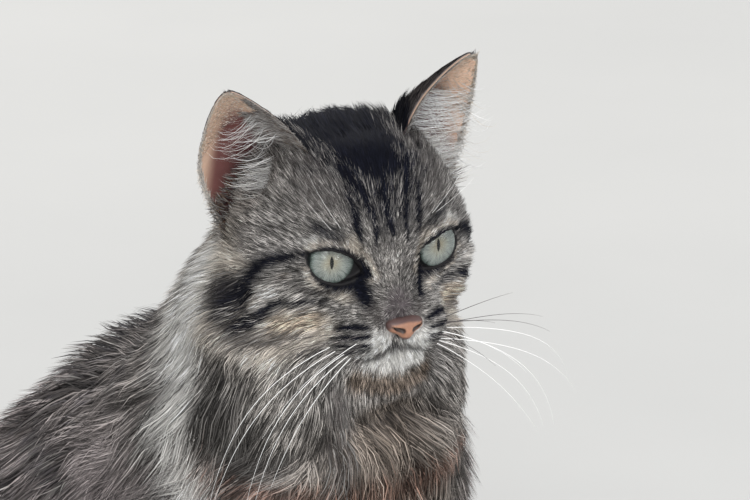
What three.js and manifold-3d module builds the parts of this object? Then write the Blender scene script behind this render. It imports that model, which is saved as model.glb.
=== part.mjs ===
// A young long-haired tabby cat sitting on the floor, life size, in millimetres.
// It faces -Y with its left side toward +X, and its head is turned a little to its right.
// Every outline runs out to the tips of the coat, and thin cuts part the body where a person
// would name its parts: head, neck, trunk, legs, paws, tail, ears, eyes and nose.
import * as THREE from 'three';
import { mergeVertices } from 'three/addons/utils/BufferGeometryUtils.js';
import Module from 'manifold-3d';

const wasm = await Module();
wasm.setup();

// ---- Driving sizes -------------------------------------------------------------------------

const GAP = 0.3; // clearance between neighbouring pieces
const LOOSE_GAP = 3; // and where the tail lies against the body
const LATTICE = 0.0002; // corners lie on a lattice this fine
const WELD = 0.001; // and corners nearer than this are one
const EYE_HEIGHT = 305; // middle of the pupils above the floor
const EYE_FRONT = -95; // and in front of the withers
const HEAD_TURN = THREE.MathUtils.degToRad(-8); // toward the cat's right
const SIDES = { left: 1, right: -1 };

// Grid steps for the surface of each part, fine on the face and feet and coarse on the trunk.
const STEP = { head: 8.2, neck: 17, trunk: 25, thigh: 20, leg: 13.5, foot: 9, tail: 17.5, nose: 4.2 };
const SETTLING = { probe: 0.02, most: 0.33, flat: 0.1 }; // shares of a step, and the least slope

// The head, from the middle of the pupils: x to its left, y backward, z up.
const HEAD = {
  cranium: { at: [0, 38, 13], radii: [43, 43, 33] },
  forehead: { at: [0, 14, 13], radii: [28, 20, 24] },
  cheek: { at: [27, 30, -11], radii: [25, 27, 28] },
  jaw: { at: [0, 16, -24], radii: [26, 24, 18] },
  bridge: { from: [0, 2, 4], to: [0, -8.5, -14], radius: 9, tip: 7.5 },
  pad: { at: [9.5, -4, -27.5], radii: [13, 13, 10] },
  chin: { at: [0, -3, -38], radii: [12, 10, 8.5] },
  orbit: { at: [23, -4, 0], radii: [10, 9, 8.5] },
  blend: { broad: 14, fine: 6, orbit: 4 },
};

// The bare tip of the nose, parted from the muzzle.
const NOSE = { at: [0, -17.5, -24], radii: [7.8, 7, 4.6] };

// An eyeball with its clear bulging front, and where it looks.
const EYE = { apart: 22.2, sunk: 6.4, radius: 10.5, iris: 8.25, bulge: 4.2, splay: 12 };
const EYE_FACETS = { around: 12, globe: 6, front: 4 };
const EGG_SIDES = 16;

// An ear: the ends of its two edges, how far each edge bows out, and how deep its cup is.
const EAR = {
  left: { inner: [19, 24, 34], outer: [48, 39, 14], tip: [52, 26, 63.6], bows: [4, 2], deep: 16 },
  right: { inner: [19, 24, 34], outer: [51, 42, 13], tip: [52, 26, 63.4], bows: [2.5, 8.5], deep: 18 },
  thick: 2.6,
  rooted: -0.2, // below the head's surface
  tipWidth: 0.06,
  rounded: 0.45, // toward the tip: less is rounder
  rows: 9,
  columns: 7,
};

// The body's coat, as round stretches between stations along the spine and legs.
const SPINE = [
  { at: [0, -52, 288], radius: 43 }, // nape and throat
  { at: [0, -42, 240], radius: 57 }, // ruff
  { at: [0, -20, 197], radius: 66 }, // shoulders
  { at: [-5, 32, 170], radius: 64 }, // ribs
  { at: [-14, 84, 122], radius: 67 }, // loin
  { at: [-17, 110, 78], radius: 70 }, // rump
];
const BIB = { from: [0, -52, 236], to: [0, -46, 172], radius: 48, tip: 42 };
const SHOULDER = { at: [40, -24, 165], radii: [30, 42, 52] };
const BELLY = { at: [-8, 74, 62], radii: [60, 66, 64] };
const THIGH = { at: [63, 84, 74], radii: [36, 76, 64] };
const SHIN = { from: [72, 36, 50], to: [68, 122, 24], radius: 26, tip: 22 };
const FORELEG = [
  { at: [37, -16, 150], radius: 32 },
  { at: [34, -26, 105], radius: 24 },
  { at: [32, -42, 52], radius: 17.5 },
  { at: [32, -50, 22], radius: 17 },
];
const FOREPAW = { at: [32, -62, 12], radii: [19, 25, 14], reach: 17 };
const HIND_FOOT = { from: [68, 126, 19], to: [72, 30, 15], radius: 19, tip: 16 };
const HIND_PAW = { at: [73, 10, 12], radii: [20, 25, 14], reach: 18 };
const TOE = { places: [-1.5, -0.5, 0.5, 1.5], radii: [6.8, 11, 8.5], apart: 11, back: 2, low: 2 };
const BODY_BLEND = { spine: 30, leg: 22, paw: 10, toe: 4 };

// The tail lies round the left side, on the floor. Shares run along it from root to tip.
const TAIL_PATH = [[-16, 168], [24, 198], [84, 187], [124, 140], [135, 80], [131, 24], [114, -18]];
const TAIL = {
  root: 24, full: 27, tip: 9, // radii of the coat
  filled: 0.33, narrows: 0.6, // where it is full and where it starts to taper
  lift: 20, landed: 0.25, // height of the root over its resting place, and where that ends
  sink: 1.5, // how far the coat is flattened by the floor
  stations: 24,
};

// Cuts between the parts of the body.
const CUT = {
  head: { at: [0, 60, 8], tilt: 34 }, // a plane behind the ears and under the jaw
  neck: { at: [0, -30, 226], tilt: 38 }, // a plane from the withers to under the ruff
  thigh: { at: [100, 94, 84], radii: [66, 90, 76] },
  foreleg: { at: [40, -38, 62], radii: [38, 44, 88] },
  wrist: 36,
  forepaw: { at: [34, -67, 0], half: [33, 40, 36] },
  hindFoot: { at: [75, 62, 10], half: [31, 88, 22] },
  tailBase: 60,
  tailTip: 70,
};

// Room around each part, as its low and high corners; legs are given on the left side.
const ROOM = {
  head: [[-66, -126, 235], [66, 10, 360]],
  nose: [[-14, -32, -34], [14, 2, -6]], // from the middle of the pupils
  neck: [[-92, -130, 150], [92, 60, 350]],
  trunk: [[-124, -130, -20], [124, 220, 300]],
  foreleg: [[-14, -120, -12], [100, 40, 170]],
  forepaw: [[-14, -120, -12], [90, 20, 60]],
  thigh: [[10, -30, -24], [140, 200, 190]],
  hindFoot: [[20, -60, -12], [120, 190, 50]],
  tail: [[-60, -60, -20], [180, 244, 90]],
  besideTail: [[-124, -60, -40], [138, 230, 200]],
};

const COLOUR = {
  coat: 0x6f675d,
  paleCoat: 0x9a9286,
  darkCoat: 0x4a4540,
  ear: 0x7d6a5e,
  eye: 0x96a59b,
  nose: 0xa9705c,
};
const FUR_ROUGHNESS = 0.9;
const NOSE_ROUGHNESS = 0.55;
const EYE_ROUGHNESS = 0.08;
const FAR = 1000; // past the edge of the animal in any direction

// ---- Solids that round off into each other ---------------------------------------------------

// Distance to an egg-shaped mass, below zero inside it.
function egg({ at, radii }) {
  const squares = radii.map((r) => r * r);
  return (x, y, z) => {
    const [dx, dy, dz] = [x - at[0], y - at[1], z - at[2]];
    const near = Math.hypot(dx / radii[0], dy / radii[1], dz / radii[2]);
    const slope = Math.hypot(dx / squares[0], dy / squares[1], dz / squares[2]);
    return slope > 0 ? (near * (near - 1)) / slope : -Math.min(...radii);
  };
}

// Distance to a limb that narrows from one end to the other.
function limb({ from, to, radius, tip }) {
  const way = to.map((v, i) => v - from[i]);
  const square = way.reduce((sum, v) => sum + v * v, 0);
  return (x, y, z) => {
    const [dx, dy, dz] = [x - from[0], y - from[1], z - from[2]];
    const along = THREE.MathUtils.clamp((dx * way[0] + dy * way[1] + dz * way[2]) / square, 0, 1);
    const off = Math.hypot(dx - along * way[0], dy - along * way[1], dz - along * way[2]);
    return off - THREE.MathUtils.lerp(radius, tip, along);
  };
}

// A row of stations joined by limbs.
function chain(stations, blend) {
  const limbs = stations.slice(1).map((station, i) =>
    limb({ from: stations[i].at, to: station.at, radius: stations[i].radius, tip: station.radius }));
  return blended(limbs, blend);
}

// Two distances joined with a soft fillet of the given size.
function fillet(a, b, size) {
  const mix = Math.max(size - Math.abs(a - b), 0) / size;
  return Math.min(a, b) - (mix * mix * size) / 4;
}

function blended(fields, size) {
  return (x, y, z) => fields.reduce((sum, field) => fillet(sum, field(x, y, z), size), FAR);
}

// The same shape on the left and, mirrored, on the right.
function paired(field) {
  return (x, y, z) => field(Math.abs(x), y, z);
}

function grown(field, by) {
  return (x, y, z) => field(x, y, z) - by;
}

// ---- From masses to closed surfaces -----------------------------------------------------------

// The closed surface where the field is zero, inside the box, with one corner in each grid cell.
function surfaceOf(field, [low, high], step) {
  const counts = low.map((v, i) => Math.ceil((high[i] - v) / step) + 1);
  const [nx, ny, nz] = counts;
  const strides = [1, nx, nx * ny];
  const values = new Float32Array(nx * ny * nz);
  for (let k = 0, n = 0; k < nz; k++)
    for (let j = 0; j < ny; j++)
      for (let i = 0; i < nx; i++, n++) {
        const edge = [i, j, k].some((v, axis) => v === 0 || v === counts[axis] - 1);
        const inside = () => field(low[0] + i * step, low[1] + j * step, low[2] + k * step);
        values[n] = edge ? step : inside();
      }

  // One corner for each cell that the surface crosses, at the mean of its crossings.
  const corners = new Map();
  const points = [];
  const cellCorners = [0, 1, 2, 3, 4, 5, 6, 7].map((c) => [c & 1, (c >> 1) & 1, c >> 2]);
  const cellEdges = cellCorners.flatMap((a, i) =>
    cellCorners.flatMap((b, j) => {
      const apart = Math.abs(a[0] - b[0]) + Math.abs(a[1] - b[1]) + Math.abs(a[2] - b[2]);
      return i < j && apart === 1 ? [[a, b]] : [];
    }));
  const valueAt = (cell, corner) =>
    values[corner.reduce((sum, v, axis) => sum + (cell[axis] + v) * strides[axis], 0)];
  for (let k = 0; k < nz - 1; k++)
    for (let j = 0; j < ny - 1; j++)
      for (let i = 0; i < nx - 1; i++) {
        const sum = [0, 0, 0];
        let crossings = 0;
        for (const [a, b] of cellEdges) {
          const [va, vb] = [valueAt([i, j, k], a), valueAt([i, j, k], b)];
          if (va < 0 === vb < 0) continue;
          const along = va / (va - vb);
          a.forEach((v, axis) => (sum[axis] += v + along * (b[axis] - v)));
          crossings++;
        }
        if (!crossings) continue;
        corners.set(i + j * nx + k * nx * ny, points.length / 3);
        const mean = [i, j, k].map((v, axis) => low[axis] + step * (v + sum[axis] / crossings));
        points.push(...settled(field, mean, step));
      }

  // Two triangles across each grid edge that the surface crosses.
  const triangles = [];
  const gapBetween = (a, b) => Math.hypot(...[0, 1, 2].map((i) => points[3 * a + i] - points[3 * b + i]));
  for (let k = 0; k < nz - 1; k++)
    for (let j = 0; j < ny - 1; j++)
      for (let i = 0; i < nx - 1; i++) {
        const n = i + j * nx + k * nx * ny;
        for (let axis = 0; axis < 3; axis++) {
          const inside = values[n] < 0;
          const onSide = [i, j, k].some((v, other) => other !== axis && v === 0);
          if (onSide || inside === values[n + strides[axis]] < 0) continue;
          const u = strides[(axis + 1) % 3];
          const v = strides[(axis + 2) % 3];
          const ring = [n - u - v, n - v, n, n - u].map((cell) => corners.get(cell));
          if (!inside) ring.reverse();
          const [a, b, c, d] = ring;
          if (gapBetween(a, c) < gapBetween(b, d)) triangles.push(a, b, c, a, c, d);
          else triangles.push(a, b, d, b, c, d);
        }
      }
  return solidOf(new Float32Array(points), new Uint32Array(triangles));
}

// A point moved straight onto the surface, by no more than a share of a step.
function settled(field, point, step) {
  const reach = step * SETTLING.probe;
  const most = step * SETTLING.most;
  const value = field(...point);
  const slope = [0, 1, 2].map((axis) => {
    const beside = point.map((v, i) => (i === axis ? v + reach : v));
    return (field(...beside) - value) / reach;
  });
  const steepness = Math.hypot(...slope);
  if (steepness < SETTLING.flat) return point;
  const way = THREE.MathUtils.clamp(value / steepness, -most, most);
  return point.map((v, axis) => v - (way * slope[axis]) / steepness);
}

function solidOf(vertProperties, triVerts) {
  return new wasm.Manifold(new wasm.Mesh({ numProp: 3, vertProperties, triVerts }));
}

// A closed three.js geometry as a solid that can be joined and cut.
function solidFrom(geometry) {
  const bare = geometry.index ? geometry.toNonIndexed() : geometry.clone();
  bare.deleteAttribute('normal');
  bare.deleteAttribute('uv');
  const merged = mergeVertices(bare, WELD);
  return solidOf(merged.attributes.position.array, new Uint32Array(merged.index.array));
}

// An egg as a solid, larger by the given margin.
function eggSolid({ at, radii }, margin = 0) {
  const geometry = new THREE.SphereGeometry(1, EGG_SIDES, EGG_SIDES / 2);
  geometry.scale(...radii.map((r) => r + margin));
  return solidFrom(geometry.translate(...at));
}

function boxSolid({ at, half }, margin = 0) {
  const geometry = new THREE.BoxGeometry(...half.map((h) => 2 * (h + margin)));
  return solidFrom(geometry.translate(...at));
}

// All that lies above a plane that passes through a point and tips down toward the front.
function above({ at, tilt }, margin = 0) {
  const geometry = new THREE.BoxGeometry(2 * FAR, 2 * FAR, 2 * FAR);
  geometry.translate(0, 0, FAR - margin);
  geometry.rotateX(THREE.MathUtils.degToRad(tilt));
  return solidFrom(geometry.translate(...at));
}

const mirrored = ({ at, ...rest }, side) => ({ at: [at[0] * side, at[1], at[2]], ...rest });

// ---- The head's own frame ---------------------------------------------------------------------

const headFrame = new THREE.Matrix4()
  .makeRotationZ(HEAD_TURN)
  .setPosition(0, EYE_FRONT, EYE_HEIGHT);
const [turnCos, turnSin] = [Math.cos(HEAD_TURN), Math.sin(HEAD_TURN)];

// A field given in the head's frame, as seen from the body's.
function onHead(field) {
  return (x, y, z) => {
    const back = y - EYE_FRONT;
    return field(turnCos * x + turnSin * back, turnCos * back - turnSin * x, z - EYE_HEIGHT);
  };
}

function toBody(point) {
  return new THREE.Vector3(...point).applyMatrix4(headFrame).toArray();
}

// ---- Masses of the whole cat ------------------------------------------------------------------

const skull = blended(
  [egg(HEAD.cranium), paired(egg(HEAD.cheek)), egg(HEAD.forehead), egg(HEAD.jaw)],
  HEAD.blend.broad);
const muzzle = blended([limb(HEAD.bridge), paired(egg(HEAD.pad)), egg(HEAD.chin)], HEAD.blend.fine);
const orbit = paired(egg(HEAD.orbit));
const face = (x, y, z) => {
  const flesh = fillet(skull(x, y, z), muzzle(x, y, z), HEAD.blend.broad);
  return -fillet(-flesh, orbit(x, y, z), HEAD.blend.orbit);
};

// A paw: its pad and four toes side by side, the outer ones set back.
function paw({ at, radii, reach }) {
  const toes = TOE.places.map((place) => {
    const front = at[1] - reach + Math.abs(place) * TOE.back;
    return egg({ at: [at[0] + place * TOE.apart, front, at[2] - TOE.low], radii: TOE.radii });
  });
  return blended([egg({ at, radii }), ...toes], BODY_BLEND.toe);
}

const legs = paired(blended([
  chain(FORELEG, BODY_BLEND.paw),
  paw(FOREPAW),
  limb(HIND_FOOT),
  paw(HIND_PAW),
], BODY_BLEND.paw));
const torso = blended([
  chain(SPINE, BODY_BLEND.spine),
  limb(BIB),
  paired(egg(SHOULDER)),
  egg(BELLY),
  paired(egg(THIGH)),
  paired(limb(SHIN)),
], BODY_BLEND.spine);
const headMass = onHead(face);
const body = (x, y, z) =>
  fillet(fillet(torso(x, y, z), headMass(x, y, z), BODY_BLEND.paw), legs(x, y, z), BODY_BLEND.leg);

// ---- Cutting it into its parts ----------------------------------------------------------------

const floorCut = boxSolid({ at: [0, 0, -FAR], half: [FAR, FAR, FAR] });
const headPlane = { at: toBody(CUT.head.at), tilt: CUT.head.tilt };

const forelegRegion = (side, margin) => eggSolid(mirrored(CUT.foreleg, side), margin);
const thighRegion = (side, margin) => eggSolid(mirrored(CUT.thigh, side), margin);
const pawRegion = (side, margin) => boxSolid(mirrored(CUT.forepaw, side), margin);
const footRegion = (side, margin) => boxSolid(mirrored(CUT.hindFoot, side), margin);
const underWrists = boxSolid({ at: [0, 0, CUT.wrist + GAP - FAR], half: [FAR, FAR, FAR] });

// The surface of the body within a box, above the floor.
function flesh(box, step) {
  return surfaceOf(body, box, step).subtract(floorCut);
}

const material = (color, roughness = FUR_ROUGHNESS) =>
  new THREE.MeshStandardMaterial({ color, roughness, metalness: 0 });

const cat = new THREE.Group();

// A named mesh of a solid. Its corners are set on the fine lattice, and the slivers that this
// flattens are left out.
function addNode(name, solid, look) {
  const { vertProperties, triVerts } = solid.getMesh();
  const corners = Array.from(vertProperties, (v) => Math.round(v / LATTICE) * LATTICE);
  const cut = new THREE.BufferGeometry();
  cut.setAttribute('position', new THREE.Float32BufferAttribute(corners, 3));
  cut.setIndex(Array.from(triVerts));
  const geometry = mergeVertices(cut, LATTICE / 2);
  const index = Array.from(geometry.index.array);
  const kept = [];
  for (let i = 0; i < index.length; i += 3) {
    const [a, b, c] = index.slice(i, i + 3);
    if (a !== b && b !== c && c !== a) kept.push(a, b, c);
  }
  geometry.setIndex(kept);
  geometry.computeVertexNormals();
  const mesh = new THREE.Mesh(geometry, look);
  mesh.name = name;
  cat.add(mesh);
}

// ---- Eyes -------------------------------------------------------------------------------------

// Half the outline of an eyeball, from the back round to the middle of its clear front.
function eyeProfile(margin = 0) {
  const radius = EYE.radius + margin;
  const rim = Math.asin(EYE.iris / EYE.radius);
  const outline = [];
  for (let i = 0; i <= EYE_FACETS.globe; i++) {
    const angle = (i / EYE_FACETS.globe) * (Math.PI - rim) - Math.PI / 2;
    outline.push([Math.cos(angle) * radius, Math.sin(angle) * radius]);
  }
  const [edge, height] = outline[outline.length - 1];
  for (let i = 1; i <= EYE_FACETS.front; i++) {
    const angle = (i / EYE_FACETS.front) * (Math.PI / 2);
    outline.push([Math.cos(angle) * edge, height + Math.sin(angle) * (EYE.bulge + margin)]);
  }
  return outline.map(([across, along]) => new THREE.Vector2(Math.max(across, 0), along));
}

// An eyeball, its front turned forward and a little outward.
function eyeball(side, margin) {
  const geometry = new THREE.LatheGeometry(eyeProfile(margin), EYE_FACETS.around);
  const splay = THREE.MathUtils.degToRad(EYE.splay);
  geometry.rotateZ(Math.PI + splay * side);
  const across = EYE.apart - EYE.sunk * Math.sin(splay);
  geometry.translate(across * side, EYE.sunk * Math.cos(splay), 0);
  return solidFrom(geometry.applyMatrix4(headFrame));
}
const sockets = Object.values(SIDES).map((side) => eyeball(side, GAP));

for (const [name, side] of Object.entries(SIDES))
  addNode(`eye_${name}`, eyeball(side, 0), material(COLOUR.eye, EYE_ROUGHNESS));

// ---- Ears -------------------------------------------------------------------------------------

// A thin cup between two edges that meet at the tip, open to the front.
function earSolid(side, { inner, outer, tip, bows, deep }) {
  const place = (point) => new THREE.Vector3(point[0] * side, point[1], point[2]);
  const [innerEnd, outerEnd, top] = [place(inner), place(outer), place(tip)];
  const across = outerEnd.clone().sub(innerEnd);
  const back = across.clone().cross(top.clone().sub(innerEnd)).normalize().multiplyScalar(-side);
  const away = new THREE.Vector3(side, 0, 0);
  const half = EAR.thick / 2;
  const rings = [];
  for (let row = 0; row <= EAR.rows; row++) {
    const rise = EAR.rooted + (row / EAR.rows) * (1 - EAR.tipWidth - EAR.rooted);
    const bowed = Math.sin(Math.PI * rise) ** (rise > 0.5 ? EAR.rounded : 1);
    const front = innerEnd.clone().lerp(top, rise).addScaledVector(away, -bows[0] * bowed);
    const rear = outerEnd.clone().lerp(top, rise).addScaledVector(away, bows[1] * bowed);
    front.z += bows[0] * bowed;
    const depth = deep * Math.cos((rise * Math.PI) / 2);
    const skin = (share, off) => {
      const cup = Math.sin(Math.PI * share) * depth;
      return front.clone().lerp(rear, share).addScaledVector(back, cup + off);
    };
    const shares = Array.from({ length: EAR.columns + 1 }, (_, i) => i / EAR.columns);
    rings.push([
      ...shares.map((share) => skin(share, half)),
      ...shares.map((share) => skin(share, -half)).reverse(),
    ]);
  }
  return loft(rings, side);
}

// Rings of equal length joined into one closed solid, capped straight across each end.
function loft(rings, side) {
  const size = rings[0].length;
  const points = rings.flat().flatMap((point) => point.toArray());
  const triangles = [];
  const quad = (a, b, c, d) => triangles.push(a, b, c, a, c, d);
  for (let row = 0; row + 1 < rings.length; row++)
    for (let i = 0; i < size; i++) {
      const [low, next] = [row * size, row * size + size];
      const j = (i + 1) % size;
      quad(low + i, low + j, next + j, next + i);
    }
  const last = (rings.length - 1) * size;
  for (let i = 0; i + 1 < size / 2; i++) {
    quad(i, size - 1 - i, size - 2 - i, i + 1);
    quad(last + i, last + i + 1, last + size - 2 - i, last + size - 1 - i);
  }
  if (side > 0) triangles.reverse();
  const geometry = new THREE.BufferGeometry();
  geometry.setAttribute('position', new THREE.Float32BufferAttribute(points, 3));
  geometry.setIndex(triangles);
  return solidFrom(geometry.applyMatrix4(headFrame));
}

// ---- Head, nose and ears ------------------------------------------------------------------------

const noseRegion = (margin) => solidFrom(
  new THREE.SphereGeometry(1, EGG_SIDES, EGG_SIDES / 2)
    .scale(...NOSE.radii.map((r) => r + margin))
    .translate(...NOSE.at)
    .applyMatrix4(headFrame));
const head = sockets.reduce((rest, socket) => rest.subtract(socket), flesh(ROOM.head, STEP.head))
  .intersect(above(headPlane, -GAP / 2))
  .subtract(noseRegion(GAP));
addNode('head', head, material(COLOUR.coat));

const noseCorners = ROOM.nose.map(toBody);
const noseRoom = [Math.min, Math.max].map((pick) =>
  [0, 1, 2].map((axis) => pick(...noseCorners.map((corner) => corner[axis]))));
const noseSolid = surfaceOf(body, noseRoom, STEP.nose).intersect(noseRegion(0));
addNode('nose', noseSolid, material(COLOUR.nose, NOSE_ROUGHNESS));

const roundHead = surfaceOf(grown(body, GAP), ROOM.head, STEP.head);
for (const [name, side] of Object.entries(SIDES))
  addNode(`ear_${name}`, earSolid(side, EAR[name]).subtract(roundHead), material(COLOUR.ear));

// ---- Neck and trunk -----------------------------------------------------------------------------

const neck = flesh(ROOM.neck, STEP.neck)
  .subtract(above(headPlane, GAP / 2))
  .intersect(above(CUT.neck, -GAP / 2));
addNode('neck', neck, material(COLOUR.paleCoat));

const trunk = Object.values(SIDES).reduce(
  (rest, side) => rest
    .subtract(thighRegion(side, GAP))
    .subtract(forelegRegion(side, GAP))
    .subtract(pawRegion(side, GAP))
    .subtract(footRegion(side, GAP)),
  flesh(ROOM.trunk, STEP.trunk).subtract(above(CUT.neck, GAP / 2)));
addNode('trunk', trunk, material(COLOUR.coat));

// ---- Legs and paws ------------------------------------------------------------------------------

// A part's room on the given side.
function roomOn(side, [low, high]) {
  const [near, far] = side > 0 ? [low[0], high[0]] : [-high[0], -low[0]];
  return [[near, low[1], low[2]], [far, high[1], high[2]]];
}

for (const [name, side] of Object.entries(SIDES)) {
  const foreleg = flesh(roomOn(side, ROOM.foreleg), STEP.leg)
    .intersect(forelegRegion(side, 0))
    .subtract(underWrists);
  const forepaw = flesh(roomOn(side, ROOM.forepaw), STEP.foot).intersect(pawRegion(side, 0));
  const thigh = flesh(roomOn(side, ROOM.thigh), STEP.thigh)
    .intersect(thighRegion(side, 0))
    .subtract(footRegion(side, GAP));
  const hindFoot = flesh(roomOn(side, ROOM.hindFoot), STEP.foot).intersect(footRegion(side, 0));
  addNode(`foreleg_${name}`, foreleg, material(COLOUR.coat));
  addNode(`forepaw_${name}`, forepaw, material(COLOUR.paleCoat));
  addNode(`thigh_${name}`, thigh, material(COLOUR.coat));
  addNode(`hind_foot_${name}`, hindFoot, material(COLOUR.paleCoat));
}

// ---- Tail ---------------------------------------------------------------------------------------

function tailRadius(along) {
  if (along < TAIL.narrows)
    return THREE.MathUtils.lerp(TAIL.root, TAIL.full, Math.min(along / TAIL.filled, 1));
  const beyond = (along - TAIL.narrows) / (1 - TAIL.narrows);
  return TAIL.tip + (TAIL.full - TAIL.tip) * Math.sqrt(1 - beyond * beyond);
}

const tailCurve = new THREE.CatmullRomCurve3(TAIL_PATH.map(([x, y]) => new THREE.Vector3(x, y, 0)));
const tailField = chain(Array.from({ length: TAIL.stations + 1 }, (_, i) => {
  const along = i / TAIL.stations;
  const place = tailCurve.getPointAt(along);
  const radius = tailRadius(along);
  const lift = TAIL.lift * Math.max(1 - along / TAIL.landed, 0);
  return { at: [place.x, place.y, radius - TAIL.sink + lift], radius };
}), BODY_BLEND.toe);
const besideBody = surfaceOf(grown(body, LOOSE_GAP), ROOM.besideTail, STEP.tail);
const tail = surfaceOf(tailField, ROOM.tail, STEP.tail)
  .subtract(floorCut)
  .subtract(besideBody);
const halfSpace = (x, y) => boxSolid({ at: [x - FAR, y - FAR, 0], half: [FAR, FAR, FAR] });
const baseSide = halfSpace(CUT.tailBase, FAR);
const tipSide = halfSpace(FAR, CUT.tailTip);
const tailLook = material(COLOUR.darkCoat);
addNode('tail_base', tail.intersect(baseSide), tailLook);
addNode('tail_middle', tail
  .subtract(halfSpace(CUT.tailBase + GAP, FAR))
  .subtract(halfSpace(FAR, CUT.tailTip + GAP)), tailLook);
addNode('tail_tip', tail.intersect(tipSide), tailLook);

// ---- Origin on the floor, under the middle of the cat ----------------------------------------------

const box = new THREE.Box3().setFromObject(cat);
cat.position.set(-(box.min.x + box.max.x) / 2, -(box.min.y + box.max.y) / 2, -box.min.z);

export default cat;
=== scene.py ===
# A life-size sitting long-haired tabby cat, dressed over its solid model: one skin, two clear
# eyes, the leather of the nose, a coat of tapered tufts, and whiskers.
import math

import bpy
import numpy as np
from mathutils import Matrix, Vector, kdtree


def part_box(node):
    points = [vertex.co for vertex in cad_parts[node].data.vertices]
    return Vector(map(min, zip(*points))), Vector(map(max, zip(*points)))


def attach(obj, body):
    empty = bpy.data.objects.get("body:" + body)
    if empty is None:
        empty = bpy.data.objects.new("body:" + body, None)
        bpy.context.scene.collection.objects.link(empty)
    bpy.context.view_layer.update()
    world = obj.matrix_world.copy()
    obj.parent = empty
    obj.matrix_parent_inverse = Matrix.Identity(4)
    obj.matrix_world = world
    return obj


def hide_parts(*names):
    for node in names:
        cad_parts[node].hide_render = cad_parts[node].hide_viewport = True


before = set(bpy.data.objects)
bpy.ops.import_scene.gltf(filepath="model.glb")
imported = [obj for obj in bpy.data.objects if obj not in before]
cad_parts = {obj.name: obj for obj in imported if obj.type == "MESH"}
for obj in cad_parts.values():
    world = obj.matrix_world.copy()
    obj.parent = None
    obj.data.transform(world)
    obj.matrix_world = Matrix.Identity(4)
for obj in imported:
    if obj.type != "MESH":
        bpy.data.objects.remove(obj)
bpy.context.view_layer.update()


# ---- Studio: floor, lights and camera -----------------------------------------------------------
# A plain pale floor under three large soft lamps and two small panes that light the eyes, and a
# long lens that looks down a little at the face. All are placed from the middle of the pupils.

MILLI = 0.001
GLOBE_BEHIND_PUPILS = 6.3  # mm from the middle of the pupils back to the middle of the eyeballs
HEAD_TURN = math.radians(-8)


def middle_of(node):
    low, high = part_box(node)
    return (low + high) / 2


globes_middle = (middle_of("eye_left") + middle_of("eye_right")) / 2
head_back = Vector((-math.sin(HEAD_TURN), math.cos(HEAD_TURN), 0))
pupils_middle = globes_middle - head_back * GLOBE_BEHIND_PUPILS * MILLI


def new_material(name):
    """A material with its nodes, its links and its shader."""
    material = bpy.data.materials.new(name)
    material.use_nodes = True
    nodes, links = material.node_tree.nodes, material.node_tree.links
    return material, nodes, links, nodes["Principled BSDF"]


def set_inputs(node, values):
    for title, value in values.items():
        node.inputs[title.replace("_", " ")].default_value = value


def add_node(nodes, kind, **values):
    """A node of the given kind, with its inputs set by name."""
    node = nodes.new(kind)
    set_inputs(node, values)
    return node


def join(links, *pairs):
    for source, target in pairs:
        links.new(source, target)


def pale_floor_material():
    material, nodes, links, shader = new_material("pale_floor")
    place = nodes.new("ShaderNodeTexCoord")
    mottle = add_node(nodes, "ShaderNodeTexNoise", Scale=3.0, Detail=6.0)
    tone = nodes.new("ShaderNodeValToRGB")
    tone.color_ramp.elements[0].color = (0.50, 0.50, 0.49, 1)
    tone.color_ramp.elements[1].color = (0.58, 0.575, 0.56, 1)
    grit = add_node(nodes, "ShaderNodeTexNoise", Scale=400.0)
    bump = add_node(nodes, "ShaderNodeBump", Strength=0.05)
    join(links, (place.outputs["Object"], mottle.inputs["Vector"]),
         (place.outputs["Object"], grit.inputs["Vector"]), (mottle.outputs["Fac"], tone.inputs["Fac"]),
         (tone.outputs["Color"], shader.inputs["Base Color"]), (grit.outputs["Fac"], bump.inputs["Height"]),
         (bump.outputs["Normal"], shader.inputs["Normal"]))
    set_inputs(shader, {"Roughness": 0.85})
    return material


FLOOR_SIZE = 14  # metres
bpy.ops.mesh.primitive_plane_add(size=FLOOR_SIZE)
floor = bpy.context.object
floor.name = "floor"
floor.data.materials.append(pale_floor_material())

VIEW = {"azimuth": math.radians(-35), "elevation": math.radians(19.5), "distance": 2.0, "lens": 256.0}
AIM_BESIDE_PUPILS = (-0.00348, 0.00124)  # metres to the right and up
SENSOR_WIDTH = 36.0
turn, rise = VIEW["azimuth"], VIEW["elevation"]
to_right = Vector((math.cos(turn), math.sin(turn), 0))
to_camera = Vector((math.sin(turn) * math.cos(rise), -math.cos(turn) * math.cos(rise), math.sin(rise)))
to_top = to_camera.cross(to_right)
aim = pupils_middle + to_right * AIM_BESIDE_PUPILS[0] + to_top * AIM_BESIDE_PUPILS[1]

camera = bpy.data.objects.new("camera", bpy.data.cameras.new("camera"))
bpy.context.scene.collection.objects.link(camera)
camera.location = aim + to_camera * VIEW["distance"]
camera.rotation_euler = (-to_camera).to_track_quat("-Z", "Y").to_euler()
camera.data.sensor_width = SENSOR_WIDTH
camera.data.lens = VIEW["lens"]
camera.data.clip_end = 50
bpy.context.scene.camera = camera

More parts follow.
